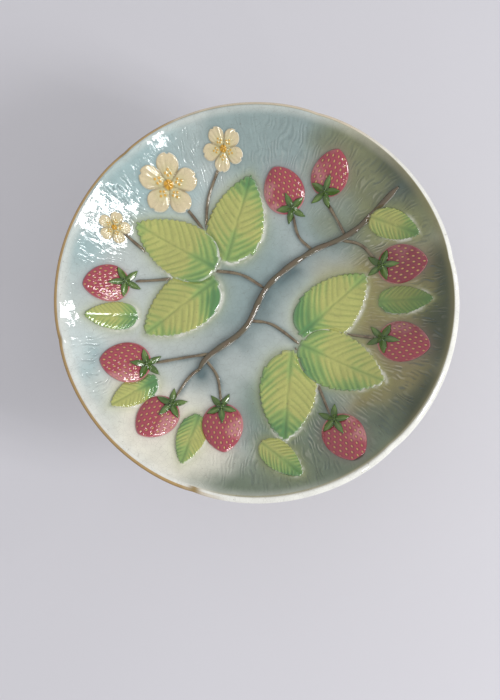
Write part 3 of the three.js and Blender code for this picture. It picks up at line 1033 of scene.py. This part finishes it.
def comb_depth(x, y, radius, turns):
    """Depth of the strokes as a share: deepest on one side, in clusters, and none in the calm stretch."""
    middle, calm_reach, calm_end = comb_calm
    calm = smooth(np.hypot(x - middle[0], y - middle[1]), calm_reach, calm_end)
    clusters, length = comb_clusters
    clustered = smooth(cloud(turns * clusters / TURN, radius / length, 9, clusters), 0.3, 0.7)
    deep = calm * mix(0.4, 1, clustered) * mix(comb_least, 1, facing(turns, comb_bearing) ** 2)
    for middle, reach, depth in comb_places:
        away = np.hypot(x - middle[0], y - middle[1])
        deep = np.maximum(deep, depth * (1 - smooth(away, reach / 3, reach)))
    return deep


def broad_strokes(radius, turns):
    """The broad strokes, from 0 in their furrows to 1 on their ridges."""
    cells, length = comb_drift
    drift = cloud(turns * cells / TURN, radius / length, 3, cells)
    around = turns * comb_cells / TURN + comb_bend[0] * drift
    down = radius / comb_length + comb_bend[1] * drift
    stroke = cloud(around, down, 5, comb_cells)
    return 1 - np.abs(2 * stroke - 1)


def dish_face():
    """The glazed face, from the middle out to the lip: its points, faces and masks."""
    well = dish_heights()["well"]
    shares, turns, faces = disc(face_rings)
    edge = wall_line(np.ones(1), 1)[0][0]
    radius = shares * edge

    def dies_out(inward):
        return 1 - smooth(radius, edge - inward[0], edge - inward[1])

    x, y = radius * np.cos(turns), radius * np.sin(turns)
    by_leaf, by_berry = nearest(leaf_sprigs(), x, y), nearest(berry_sprigs(), x, y)
    trunk, *thin_stems = stems()
    by_rest = nearest([*calyx_sprigs(), *blossom_sprigs(), trunk, *thin_stems], x, y)
    near = np.minimum(np.minimum(by_leaf, by_berry), by_rest)
    by_trunk = nearest([trunk], x - shade_shift, y + shade_shift)
    by_stem = nearest(thin_stems, x - shade_shift / 3, y + shade_shift / 3)
    stroke = broad_strokes(radius, turns)
    on_wall = smooth(radius, well + comb_start[0], well + comb_start[1]) * dies_out(comb_end)
    deep = on_wall * comb_depth(x, y, radius, turns)
    felt = deep * smooth(near, *comb_clear)
    height = comb_height * felt * (stroke - 0.4) + fillet_height * fade(near, fillet_spread)
    face_x, face_y = nip(x, y)
    halo = leaf_halo(x, y)
    hollow = fade(near, fillet_spread) * (1 - halo) + felt * (1 - smooth(stroke, 0.1, 0.5)) * 0.5
    lapped = lip_start * smooth(radius, edge - lip_lap, edge)
    masks = {
        "combed": deep * smooth(near, *stroke_clear),
        "sunlit": facing(turns, comb_bearing) * dies_out(sunlit_end),
        "hollow": np.clip(hollow, 0, 1),
        "halo": halo,
        "leaf_mist": fade(by_leaf, leaf_mist),
        "berry_mist": fade(by_berry, berry_mist),
        "stem_mist": np.maximum(fade(by_trunk, trunk_shade), thin_shade * fade(by_stem, stem_shade)),
        "lip_share": lapped,
        "lip_wiped": lapped - covered(turns),
        "rim_fade": smooth(radius, edge - rim_fade, edge),
        "notched": np.zeros(len(x)),
        "under": np.zeros(len(x)),
    }
    return np.stack([face_x, face_y, face_height(x, y) + height], 1), faces, masks


def dish_back():
    """Radius, height and share of the lip's band of each ring beyond the face: lip, underside and boss."""
    form = dish_heights()
    lip_radius, lip_height = lip_line()
    under_radius, under_height = wall_line(np.linspace(1, 0, under_rings + 1), -1)
    boss, low = form["bore"] - boss_clearance, form["collar_top"] - boss_drop
    boss_radius = [boss + boss_ledge, boss, boss, boss - boss_chamfer, boss_eye]
    boss_height = [form["seat"], form["seat"], low + boss_chamfer, low, low]
    radii = np.concatenate([lip_radius[1:], under_radius[1:], boss_radius])
    heights = np.concatenate([lip_height[1:], under_height[1:], boss_height])
    lip_shares = np.ones(len(radii))
    lip_shares[:lip_rings] = mix(lip_start, 1, np.arange(1, lip_rings + 1) / lip_rings)
    return radii, heights, lip_shares


class COMPOTE_OT_dish(bpy.types.Operator):
    """Builds the six-lobed dish with its combed ground, rolled lip and boss"""

    bl_idname = "compote.dish"
    bl_label = "Dish"

    def execute(self, context):
        face_points, face_faces, masks = dish_face()
        radii, heights, lip_shares = dish_back()
        points, faces = [face_points], [face_faces]
        count = 6 * face_rings
        turns = full_turn(count)
        first, start = ring_start(face_rings), len(face_points)
        for radius, height in zip(radii, heights):
            x, y = nip(radius * np.cos(turns), radius * np.sin(turns))
            points.append(np.stack([x, y, np.full(count, height)], 1))
            faces.append(strip(first, start, count))
            first, start = start, start + count
        points.append([[0, 0, heights[-1]]])
        faces.append(fan(start, first, count))
        around, share = np.tile(turns, len(radii)), np.repeat(lip_shares, count)
        back_masks = {
            "lip_share": share,
            "lip_wiped": share - covered(around),
            "rim_fade": np.ones(len(share)),
            "notched": bell(past_notch(around), stain_spread),
            "under": (share > under_start).astype(float),
        }
        for name, values in masks.items():
            back = back_masks.get(name, np.zeros(len(share)))
            masks[name] = np.concatenate([values, back, back[[-count]]])
        material = glazed_material("dish ground", ground_colours, "ground_pool", wave=0.35)
        make_piece("dish", np.concatenate(points), np.concatenate(faces), masks, material, "dish_glaze")
        return {"FINISHED"}


# Foot


def bezier(start, first, second, end, steps):
    share = np.linspace(0, 1, steps + 1)[:, None]
    keep = 1 - share
    corners = [np.array(p, float) for p in (start, first, second, end)]
    return (
        keep**3 * corners[0]
        + 3 * keep**2 * share * corners[1]
        + 3 * keep * share**2 * corners[2]
        + share**3 * corners[3]
    )


def trumpet(collar, waist, foot, foot_height):
    """Profile of one side of the foot, from its collar through the waist down to its flare."""
    top = dish_heights()["collar_top"]
    band = top - collar_band
    waist_height = millimetres("waist_height")
    neck = (band - waist_height) * neck_pull
    flare = waist_height - foot_height
    narrowest = (waist, waist_height)
    above = (waist, waist_height + neck)
    upper = bezier((collar, band), (collar, band - neck), above, narrowest, neck_steps)
    drop = (waist, waist_height - flare * flare_drop)
    turned_out = (foot * flare_reach, foot_height + flare * flare_rise)
    lower = bezier(narrowest, drop, turned_out, (foot, foot_height), flare_steps)
    return np.vstack([[(collar, top), (collar, top - 0.5), (collar, band + 0.8)], upper, lower[1:]])


def turned_piece(profile):
    """A closed profile of radius and height turned round the axis."""
    turns = full_turn(foot_sides)
    x = profile[:, :1] * np.cos(turns)
    y = profile[:, :1] * np.sin(turns)
    z = np.repeat(profile[:, 1:], foot_sides, 1)
    points = np.stack([x, y, z], 2).reshape(-1, 3)
    rows = len(profile)
    faces = [strip(i * foot_sides, (i + 1) % rows * foot_sides, foot_sides) for i in range(rows)]
    return points, np.concatenate(faces)


def foot_colours(nodes):
    height = nodes.add("ShaderNodeSeparateXYZ", {0: nodes.place})["Z"]
    drift = nodes.times(nodes.grain(45, 3.0), 0.012)
    level = nodes.plus(height, drift)
    colour = glaze("cream")
    for name, start, full in foot_bands:
        colour = nodes.spray(colour, name, nodes.ranged(level, start * MM, full * MM))
    line = nodes.ranged(nodes.plus(height, nodes.times(drift, 0.08)), *[edge * MM for edge in foot_line])
    colour = nodes.spray(colour, "ochre", nodes.times(line, nodes.mask("outside")))
    colour = nodes.spray(colour, "slip", nodes.mask("bare"))
    return colour, nodes.mask("hollow"), nodes.mask("crest")


def slip_colours(nodes):
    return glaze("slip"), nodes.mask("hollow"), 0.0


class COMPOTE_OT_foot(bpy.types.Operator):
    """Builds the hollow trumpet foot and the ring of slip that lutes the dish to it"""

    bl_idname = "compote.foot"
    bl_label = "Foot"

    def execute(self, context):
        form = dish_heights()
        foot, wall = millimetres("foot_diameter") / 2, millimetres("foot_wall")
        collar, waist = millimetres("collar_diameter") / 2, millimetres("waist_diameter") / 2
        flare, inner = foot - edge_inset, foot - foot_ring
        outside = trumpet(collar, waist, flare, foot_edge)
        inside = trumpet(form["bore"], waist - wall, inner, foot_edge - wall / 2)
        widest, table = (foot, edge_round), (foot - edge_round, 0)
        edge = bezier((flare, foot_edge), (foot + 0.05, foot_edge - 0.4), (foot, 3), widest, edge_steps)
        under = bezier(widest, (foot, 0.4), (foot - 0.6, 0), table, edge_steps)
        ring = bezier((foot - 3, 0), (inner + 1, 0), (inner, 0.6), (inner, 1.8), edge_steps)
        points, faces = turned_piece(np.vstack([outside, edge[1:], under[1:], ring, inside[::-1]]))
        reach, height = np.hypot(points[:, 0], points[:, 1]), points[:, 2]
        waist_pool = 0.5 * fade(np.abs(height - millimetres("waist_height")), 5)
        masks = {
            "hollow": np.maximum(smooth(height, form["collar_top"] - 2.5, form["collar_top"]), waist_pool),
            "crest": 0.2 * smooth(reach, foot - 1.2, foot - 0.2),
            "outside": smooth(reach, foot - 2.2, foot - 1),
            "bare": 1 - smooth(height, 0.05, 0.4),
        }
        material = glazed_material("foot glaze", foot_colours, "foot_pool", wave=0.4, bare="bare")
        make_piece("pedestal", points, faces, masks, material, "foot_glaze")
        self.lute(form, collar)
        return {"FINISHED"}

    def lute(self, form, collar):
        """Makes the ring of slip, with a bead that bulges out of the joint and is never quite even."""
        low, high = form["collar_top"], form["seat"]
        bulge = collar + slip_bead
        bead = bezier((collar, low), (bulge, low + 0.1), (bulge, high - 0.1), (collar, high), bead_steps)
        profile = np.vstack([[(form["bore"], low)], bead, [(form["bore"], high)]])
        points, faces = turned_piece(profile[::-1])
        turns = np.arctan2(points[:, 1], points[:, 0])
        swell = 1 - 0.008 * cloud((turns + math.pi) * 30 / TURN, 0 * turns, 4, 30)
        points[:, :2] *= swell[:, None]
        inward = 1 - smooth(np.hypot(points[:, 0], points[:, 1]), collar, collar + slip_bead * 0.6)
        material = glazed_material("luting slip", slip_colours, "slip_pool", wave=0.6, coat=0.2)
        make_piece("slip_ring", points, faces, {"hollow": 0.6 * inward}, material, "slip")


# Leaves


def right_shade(nodes):
    """Mask of the dark spray over the relief on the right wall, partly painted shade where the wall faces
    away from the window.
    """
    return nodes.times(nodes.patch(*right_shade_place), 0.6)


def leaf_colours(nodes):
    cloudy = nodes.ranged(nodes.grain(30), 0.35, 0.65, -0.3, 0.3)
    deep = nodes.plus(nodes.mask("sprayed"), cloudy)
    deep = nodes.figure("SUBTRACT", deep, nodes.times(nodes.mask("ridge"), 0.3))
    colour = nodes.spray(glaze("leaf"), "leaf_mid", nodes.ranged(deep, -0.1, 0.5))
    colour = nodes.spray(colour, "leaf_deep", nodes.ranged(deep, 0.35, 1.05))
    # Painted shade, in part: leaves on the right wall darken toward the calyx green.
    colour = nodes.spray(colour, "calyx", right_shade(nodes))
    return colour, nodes.mask("hollow"), nodes.mask("crest")


def leaf_shape(sprig, number):
    """A leaf with a sunk midrib, pillows between its side veins, and teeth where these end."""
    spacing = sprig.length / leaf_veins

    def beat_at(along, across):
        """Counts side veins along the leaf. They alternate, bend to the tip and are unevenly spaced."""
        bend = np.abs(across) ** 1.3 / (sprig.width / 2) ** 0.3
        count = (along - 0.95 * bend) / spacing + 0.4 * (across < 0)
        return count + 0.13 * np.sin(2.3 * count + number)

    def shape(shares, turns, along, across):
        beat = beat_at(along, across)
        tooth = (beat_at(*sprig.outline(turns)) % 1) ** 1.6
        bite = 1 - tooth_bite * tooth * shares**5
        along, across = along * bite, across * bite
        vein = np.abs(beat - np.round(beat)) * 2
        outward = smooth(np.abs(across), 0.3, 3.2) * (1 - smooth(shares, 0.88, 1))
        droop = leaf_droop * np.sin(turns * 3 + number) * shares**2
        pillow = vein_pillow * outward * (vein**0.8 - 0.5)
        rib = midrib_drop * bell(across, midrib_width) * smooth(shares, 0.02, 0.12)
        rounded = leaf_round * smooth(shares, 0.955, 1)
        height = mix(*leaf_swell, dome(shares)) + droop + pillow - rib - rounded
        start = (along + sprig.length / 2) / sprig.length
        side = 0.5 + 0.5 * np.sign(math.sin(number * 2.4)) * across / (sprig.width / 2)
        to_tip = 0.37 * number % 1
        sprayed = to_tip * smooth(start, 0.45, 0.95) + (1 - to_tip) * (1 - smooth(start, 0.05, 0.5))
        sprayed += 0.5 * smooth(side, 0.45, 0.95) + 0.15 * bell(across, 1.6) - 0.1
        # The white edge is strongest on the side toward the window: glaze broken thin there, and partly a
        # painted highlight.
        lit_side = np.cos(turns + sprig.heading - lit_edge_bearing)
        groove = outward * (1 - smooth(vein, 0.05, 0.45))
        return along, across, height, {
            "ridge": outward * smooth(vein, 0.3, 0.95),
            "sprayed": np.clip(sprayed, 0, 1.2),
            "hollow": np.clip(0.4 * bell(across, 0.6) + 0.4 * groove, 0, 1),
            "crest": smooth(shares, 0.935, 0.975) * mix(0.15, 1, smooth(lit_side, -0.3, 0.7)),
        }

    return shape


class COMPOTE_OT_leaves(bpy.types.Operator):
    """Builds the toothed leaves with their ribs and side veins"""

    bl_idname = "compote.leaves"
    bl_label = "Leaves"

    def execute(self, context):
        material = glazed_material("leaf glaze", leaf_colours, "leaf_pool")
        leaves = leaf_sprigs()
        over = [*calyx_sprigs(), *berry_sprigs(), *blossom_sprigs()]
        for i, leaf in enumerate(leaves):
            settle = tuck_under([*over, *leaves[:i]])
            press(leaf, leaf_rings, leaf_shape(leaf, i + 1), settle, material, "leaf_glaze")
        return {"FINISHED"}


# Berries and calyxes


def berry_body(sprig, shares):
    """Height of a berry over the face, without its seeds."""
    crown = berry_crown * sprig.width / millimetres("berry_width")
    return mix(berry_edge, crown, dome(shares, *berry_round))


def berry_shape(sprig):
    """A berry with a seed in each of its pits, which lie in bent rows."""
    row_pitch = seed_pitch * seed_row

    def shape(shares, turns, along, across):
        bend = along + 0.02 * across**2
        row = np.round(bend / row_pitch)
        column = across / seed_pitch - 0.5 * (row % 2)
        off_across = (column - np.round(column)) * seed_pitch
        off_along = bend - row * row_pitch
        live = 1 - smooth(shares, 0.86, 0.97)
        pit = 1 - smooth(np.hypot(off_along * 0.85, off_across), 0.35, 1.35)
        seed = 1 - smooth(np.hypot(off_along * 0.62, off_across), 0.28, 0.62)
        height = berry_body(sprig, shares) + live * (seed_rise * seed - pit_drop * pit)
        return along, across, height, {
            "pit": live * pit * (1 - seed),
            "seed": live * seed,
            "side": smooth(across / sprig.width, -0.45, 0.5),
            "crest": smooth(shares, 0.94, 0.99),
        }

    return shape


def berry_colours(nodes):
    drift = nodes.ranged(nodes.grain(70), 0.35, 0.65, -0.25, 0.25)
    faded = nodes.ranged(nodes.plus(nodes.mask("side"), drift), 0.62, 1.1, 0.0, 0.7)
    colour = nodes.spray(glaze("berry"), "berry_pale", faded)
    # Painted shade, in part: berries on the right wall darken to deep red.
    colour = nodes.spray(colour, "berry_deep", right_shade(nodes))
    colour = nodes.spray(colour, "seed", nodes.times(nodes.mask("seed"), 0.8))
    return colour, nodes.times(nodes.mask("pit"), 0.85), nodes.mask("crest")


class COMPOTE_OT_berries(bpy.types.Operator):
    """Builds the berries with their pitted seeds"""

    bl_idname = "compote.berries"
    bl_label = "Berries"

    def execute(self, context):
        material = glazed_material("berry glaze", berry_colours, "berry_deep", "berry_pale")
        berries, calyxes = berry_sprigs(), calyx_sprigs()
        for i, berry in enumerate(berries):
            settle = tuck_under([*calyxes[:i], *calyxes[i + 1 :], *berries[:i]])
            press(berry, berry_rings, berry_shape(berry), settle, material, "berry_glaze")
        return {"FINISHED"}


def on_berry(berry):
    """Lifts heights onto the berry that lies under them."""

    def settle(x, y, height):
        away, reach = berry.measure(x, y)
        share = np.clip(away / reach, 0, 1)
        return height + np.where(share < 1, berry_body(berry, share), 0)

    return settle


def calyx_shape(shares, turns, along, across):
    """Ribbed sepals round a nub where the stalk joins."""
    ray = np.abs(np.cos(turns * sepal_count / 2))
    rib = 0.4 * smooth(ray, 0.55, 1) * (1 - shares) + 0.25 * smooth(ray, 0.93, 1)
    nub = stalk_nub * (1 - smooth(shares, 0.1, 0.26))
    height = mix(*sepal_swell, dome(shares)) + rib + nub - sepal_round * smooth(shares, 0.93, 1)
    hollow = (1 - smooth(ray, 0.1, 0.55)) * 0.8 + smooth(shares, 0.9, 1) * 0.4
    return along, across, height, {
        "ridge": smooth(ray, 0.8, 1),
        "hollow": np.clip(hollow, 0, 1),
        "crest": smooth(shares, 0.95, 1) * 0.5,
    }


def calyx_colours(nodes):
    tone = nodes.times(nodes.mask("ridge"), nodes.ranged(nodes.grain(120), 0.3, 0.7, 0.0, 0.4))
    return nodes.spray(glaze("calyx"), "leaf_mid", tone), nodes.mask("hollow"), nodes.mask("crest")


class COMPOTE_OT_calyxes(bpy.types.Operator):
    """Builds the five-pointed calyx over the stalk end of each berry"""

    bl_idname = "compote.calyxes"
    bl_label = "Calyxes"

    def execute(self, context):
        material = glazed_material("calyx glaze", calyx_colours, "calyx_pool", "leaf_mid")
        for calyx, berry in zip(calyx_sprigs(), berry_sprigs()):
            press(calyx, calyx_rings, calyx_shape, on_berry(berry), material, "calyx_glaze")
        return {"FINISHED"}


# Blossoms


def blossom_shape(sprig):
    """Cupped, veined petals round a raised eye, each with a few stamens."""
    reach = sprig.length / 2
    dots = []
    for petal in range(petal_count):
        for lean, out in stamen_places:
            turn = (petal + lean) * TURN / petal_count
            dots.append((out * reach * math.cos(turn), out * reach * math.sin(turn)))

    def shape(shares, turns, along, across):
        ray = np.abs(np.cos(turns * petal_count / 2))
        notch = 1 - 0.05 * smooth(ray, 0.985, 1) * shares**4
        along, across = along * notch, across * notch
        cup = mix(*petal_swell, smooth(ray, 0, 0.75) * dome(shares, 2.5))
        veined = smooth(shares, 0.35, 0.7) * (1 - smooth(shares, 0.9, 1))
        vein = petal_vein * np.cos(turns * petal_count * 5) * veined
        inside = np.hypot(along, across) / reach
        away = np.min([np.hypot(along - a, across - b) for a, b in dots], axis=0)
        dot = 1 - smooth(away, 0.022 * reach, 0.06 * reach)
        rounded = petal_round * smooth(shares, 0.95, 1)
        height = cup + vein + dome(inside / eye_share) + stamen_rise * dot - rounded
        groove = (1 - smooth(ray, 0.05, 0.4)) * smooth(inside, eye_share, 0.3)
        return along, across, height, {
            "eye": np.maximum(1 - smooth(inside, 0.14, 0.19), dot),
            "hollow": np.clip(groove + bell(inside - 0.19, 0.02) * 0.7, 0, 1),
            "throat": 1 - smooth(shares, 0.3, 0.85),
            "crest": smooth(shares, 0.95, 1),
        }

    return shape


def blossom_colours(nodes):
    colour = nodes.spray(glaze("petal"), "leaf", nodes.times(nodes.mask("throat"), 0.35))
    colour = nodes.spray(colour, "eye", nodes.mask("eye"))
    return colour, nodes.times(nodes.mask("hollow"), 0.7), nodes.mask("crest")


class COMPOTE_OT_blossoms(bpy.types.Operator):
    """Builds the five-petalled blossoms with their dotted eyes"""

    bl_idname = "compote.blossoms"
    bl_label = "Blossoms"

    def execute(self, context):
        material = glazed_material("blossom glaze", blossom_colours, "petal_pool")
        over = [*calyx_sprigs(), *berry_sprigs()]
        blossoms = blossom_sprigs()
        for i, blossom in enumerate(blossoms):
            settle = tuck_under([*over, *blossoms[:i]])
            press(blossom, blossom_rings, blossom_shape(blossom), settle, material, "petal_glaze")
        return {"FINISHED"}


# Stems


def stem_colours(nodes):
    colour = nodes.spray(glaze("stem"), "bark", nodes.mask("bark"))
    colour = nodes.spray(colour, "stem_dark_and_shade", nodes.ranged(nodes.grain(210, 3.0), 0.44, 0.64))
    # Painted highlight: a little ochre on the top of each stem.
    colour = nodes.spray(colour, "ochre", nodes.times(nodes.mask("top"), 0.12))
    # The hollow mask here is the painted shade on each stem's lower side.
    return colour, nodes.mask("hollow"), nodes.mask("crest")


def rolled_stem(stem, number, settle):
    """A half-sunk roll of clay along a stem's line, knotted here and there and tapered at its ends."""
    line = through(stem.line, stem_step)
    ahead = np.gradient(line, axis=0)
    ahead /= np.hypot(ahead[:, 0], ahead[:, 1])[:, None]
    run = np.arange(len(line)) * stem_step
    knots = stem_knot[0] + stem_knot[1] * cloud(run / knot_length, 0 * run + number, 12)
    to_end = np.minimum(run, run[-1] - run)
    taper = mix(stem_taper[0], 1, smooth(to_end, 0, stem.thickness * stem_taper[1]))
    half = (stem.thickness / 2 * knots * taper)[:, None]
    turns = full_turn(stem_sides)
    across = half * np.cos(turns)
    lift = stem_lift[0] + stem_lift[1] * half * (0.5 + 0.5 * np.sin(turns))
    x = (line[:, :1] - ahead[:, 1:] * across).ravel()
    y = (line[:, 1:] + ahead[:, :1] * across).ravel()
    height = settle(x, y, lift.ravel()) - stem_sink
    body = np.stack([x, y, face_height(x, y) + height], 1)
    ends = np.stack([body[:stem_sides].mean(0), body[-stem_sides:].mean(0)])
    rows, first_end = len(line), len(body)
    back = (rows - 1) * stem_sides
    faces = [strip(i * stem_sides, (i + 1) * stem_sides, stem_sides)[:, ::-1] for i in range(rows - 1)]
    faces.append(fan(first_end, 0, stem_sides))
    faces.append(fan(first_end + 1, back, stem_sides)[:, ::-1])
    upward, sideways = np.tile(np.sin(turns), rows), np.tile(np.cos(turns), rows)
    masks = {
        "bark": np.full(len(body) + 2, float(stem.name == "trunk")),
        # Painted highlight on the top of the roll.
        "top": np.append(smooth(upward, 0.4, 1), [0, 0]),
        # Painted shade on the lower side of the roll, partly glaze pooled in the crease against the dish.
        "hollow": np.append(1 - smooth(upward, -0.2, 0.5), [1, 1]),
        # Painted highlight as a pale line along one side, partly glaze broken thin on that edge.
        "crest": np.append(0.55 * smooth(sideways, 0.75, 1), [0, 0]),
    }
    return np.vstack([body, ends]), np.concatenate(faces), masks


class COMPOTE_OT_stems(bpy.types.Operator):
    """Builds the trunk and the thin stems"""

    bl_idname = "compote.stems"
    bl_label = "Stems"

    def execute(self, context):
        material = glazed_material("stem glaze", stem_colours, "stem_dark_and_shade")
        settle = tuck_under([*calyx_sprigs(), *berry_sprigs(), *blossom_sprigs(), *leaf_sprigs()])
        for i, stem in enumerate(stems()):
            make_piece(stem.name, *rolled_stem(stem, i, settle), material, "stem_glaze")
        return {"FINISHED"}


# Stage. Its lengths are in metres, and the lens is in millimetres.

view_tilt = math.radians(5.9)
view_height = 0.6251
view_back = -0.0835
view_side = -0.0037
view_lens = 32.97
# Bearing and rise in degrees, width and height, columns and rows of panes, of each window
windows = (
    (-20, 33, 0.32, 0.48, 3, 4),
    (-52, 28, 0.1, 0.16, 1, 2),
    (15, 18, 0.12, 0.14, 1, 1),
)
window_bar = 0.032
window_distance = 1.3
window_brightness = 95  # watts to a square metre
room_light = 0.68
floor_size = 6


def floor_material():
    material = bpy.data.materials.new("pale floor")
    material.use_nodes = True
    nodes = Nodes(material.node_tree)
    shader = material.node_tree.nodes["Principled BSDF"]
    clouds = nodes.ranged(nodes.grain(3), 0.3, 0.7, 0.0, 0.12)
    colour = nodes.spray(glaze("floor"), "floor_cloud", clouds)
    material.node_tree.links.new(colour, shader.inputs["Base Color"])
    shader.inputs["Roughness"].default_value = 0.85
    return material


def hang_window(scene, bearing_degrees, rise_degrees, width, height, columns, rows):
    """Hangs one window of equal panes that faces the dish."""
    bearing, rise = math.radians(bearing_degrees), math.radians(rise_degrees)
    turned = Euler((math.pi / 2 - rise, 0, bearing + math.pi / 2))
    toward = Vector((math.cos(rise) * math.cos(bearing), math.cos(rise) * math.sin(bearing), math.sin(rise)))
    centre = Vector((0, 0, millimetres("height") * MM)) + window_distance * toward
    for column in range(columns):
        for row in range(rows):
            lamp = bpy.data.lights.new("window pane", "AREA")
            lamp.shape = "RECTANGLE"
            lamp.size = width / columns - window_bar
            lamp.size_y = height / rows - window_bar
            lamp.energy = window_brightness * lamp.size * lamp.size_y
            across = ((column + 0.5) / columns - 0.5) * width
            up = ((row + 0.5) / rows - 0.5) * height
            pane = bpy.data.objects.new("window pane", lamp)
            pane.rotation_euler = turned
            pane.location = centre + turned.to_matrix() @ Vector((across, up, 0))
            scene.collection.objects.link(pane)


class COMPOTE_OT_stage(bpy.types.Operator):
    """Sets out the pale floor, the window light, the room light and the camera"""

    bl_idname = "compote.stage"
    bl_label = "Stage"

    def execute(self, context):
        scene = context.scene
        half = floor_size / 2
        corners = [(-half, -half, 0), (half, -half, 0), (half, half, 0), (-half, half, 0)]
        mesh = bpy.data.meshes.new("floor")
        mesh.from_pydata(corners, [], [(0, 1, 2, 3)])
        mesh.materials.append(floor_material())
        floor = bpy.data.objects.new("floor", mesh)
        scene.collection.objects.link(floor)
        for window in windows:
            hang_window(scene, *window)
        world = bpy.data.worlds.new("room")
        world.use_nodes = True
        backdrop = world.node_tree.nodes["Background"]
        backdrop.inputs["Color"].default_value = (1, 1, 1, 1)
        backdrop.inputs["Strength"].default_value = room_light
        scene.world = world
        view = bpy.data.cameras.new("view")
        view.sensor_fit = "VERTICAL"
        view.sensor_height = 24
        view.lens = view_lens
        camera = bpy.data.objects.new("view", view)
        camera.location = (view_side, view_back, view_height)
        camera.rotation_euler = (view_tilt, 0, 0)
        scene.collection.objects.link(camera)
        scene.camera = camera
        scene.view_settings.view_transform = "Standard"
        return {"FINISHED"}


class COMPOTE_PT_pieces(bpy.types.Panel):
    """Lists the pieces of the compote with their sizes and glazes"""

    bl_label = "Compote"
    bl_idname = "COMPOTE_PT_pieces"
    bl_space_type = "VIEW_3D"
    bl_region_type = "UI"
    bl_category = "Compote"

    def draw(self, context):
        for operator in operators:
            self.layout.operator(operator.bl_idname)
        for group in (context.scene.compote_sizes, context.scene.compote_glazes):
            column = self.layout.column()
            for name in group.__annotations__:
                column.prop(group, name)


operators = (
    COMPOTE_OT_dish,
    COMPOTE_OT_foot,
    COMPOTE_OT_leaves,
    COMPOTE_OT_berries,
    COMPOTE_OT_calyxes,
    COMPOTE_OT_blossoms,
    COMPOTE_OT_stems,
    COMPOTE_OT_stage,
)
classes = (CompoteSizes, CompoteGlazes, *operators, COMPOTE_PT_pieces)


def register():
    for made in classes:
        bpy.utils.register_class(made)
    bpy.types.Scene.compote_sizes = bpy.props.PointerProperty(type=CompoteSizes)
    bpy.types.Scene.compote_glazes = bpy.props.PointerProperty(type=CompoteGlazes)


def unregister():
    del bpy.types.Scene.compote_glazes
    del bpy.types.Scene.compote_sizes
    for made in reversed(classes):
        bpy.utils.unregister_class(made)


def main():
    register()
    bpy.ops.compote.stage()
    bpy.ops.compote.dish()
    bpy.ops.compote.foot()
    bpy.ops.compote.leaves()
    bpy.ops.compote.berries()
    bpy.ops.compote.calyxes()
    bpy.ops.compote.blossoms()
    bpy.ops.compote.stems()


if __name__ == "__main__":
    main()
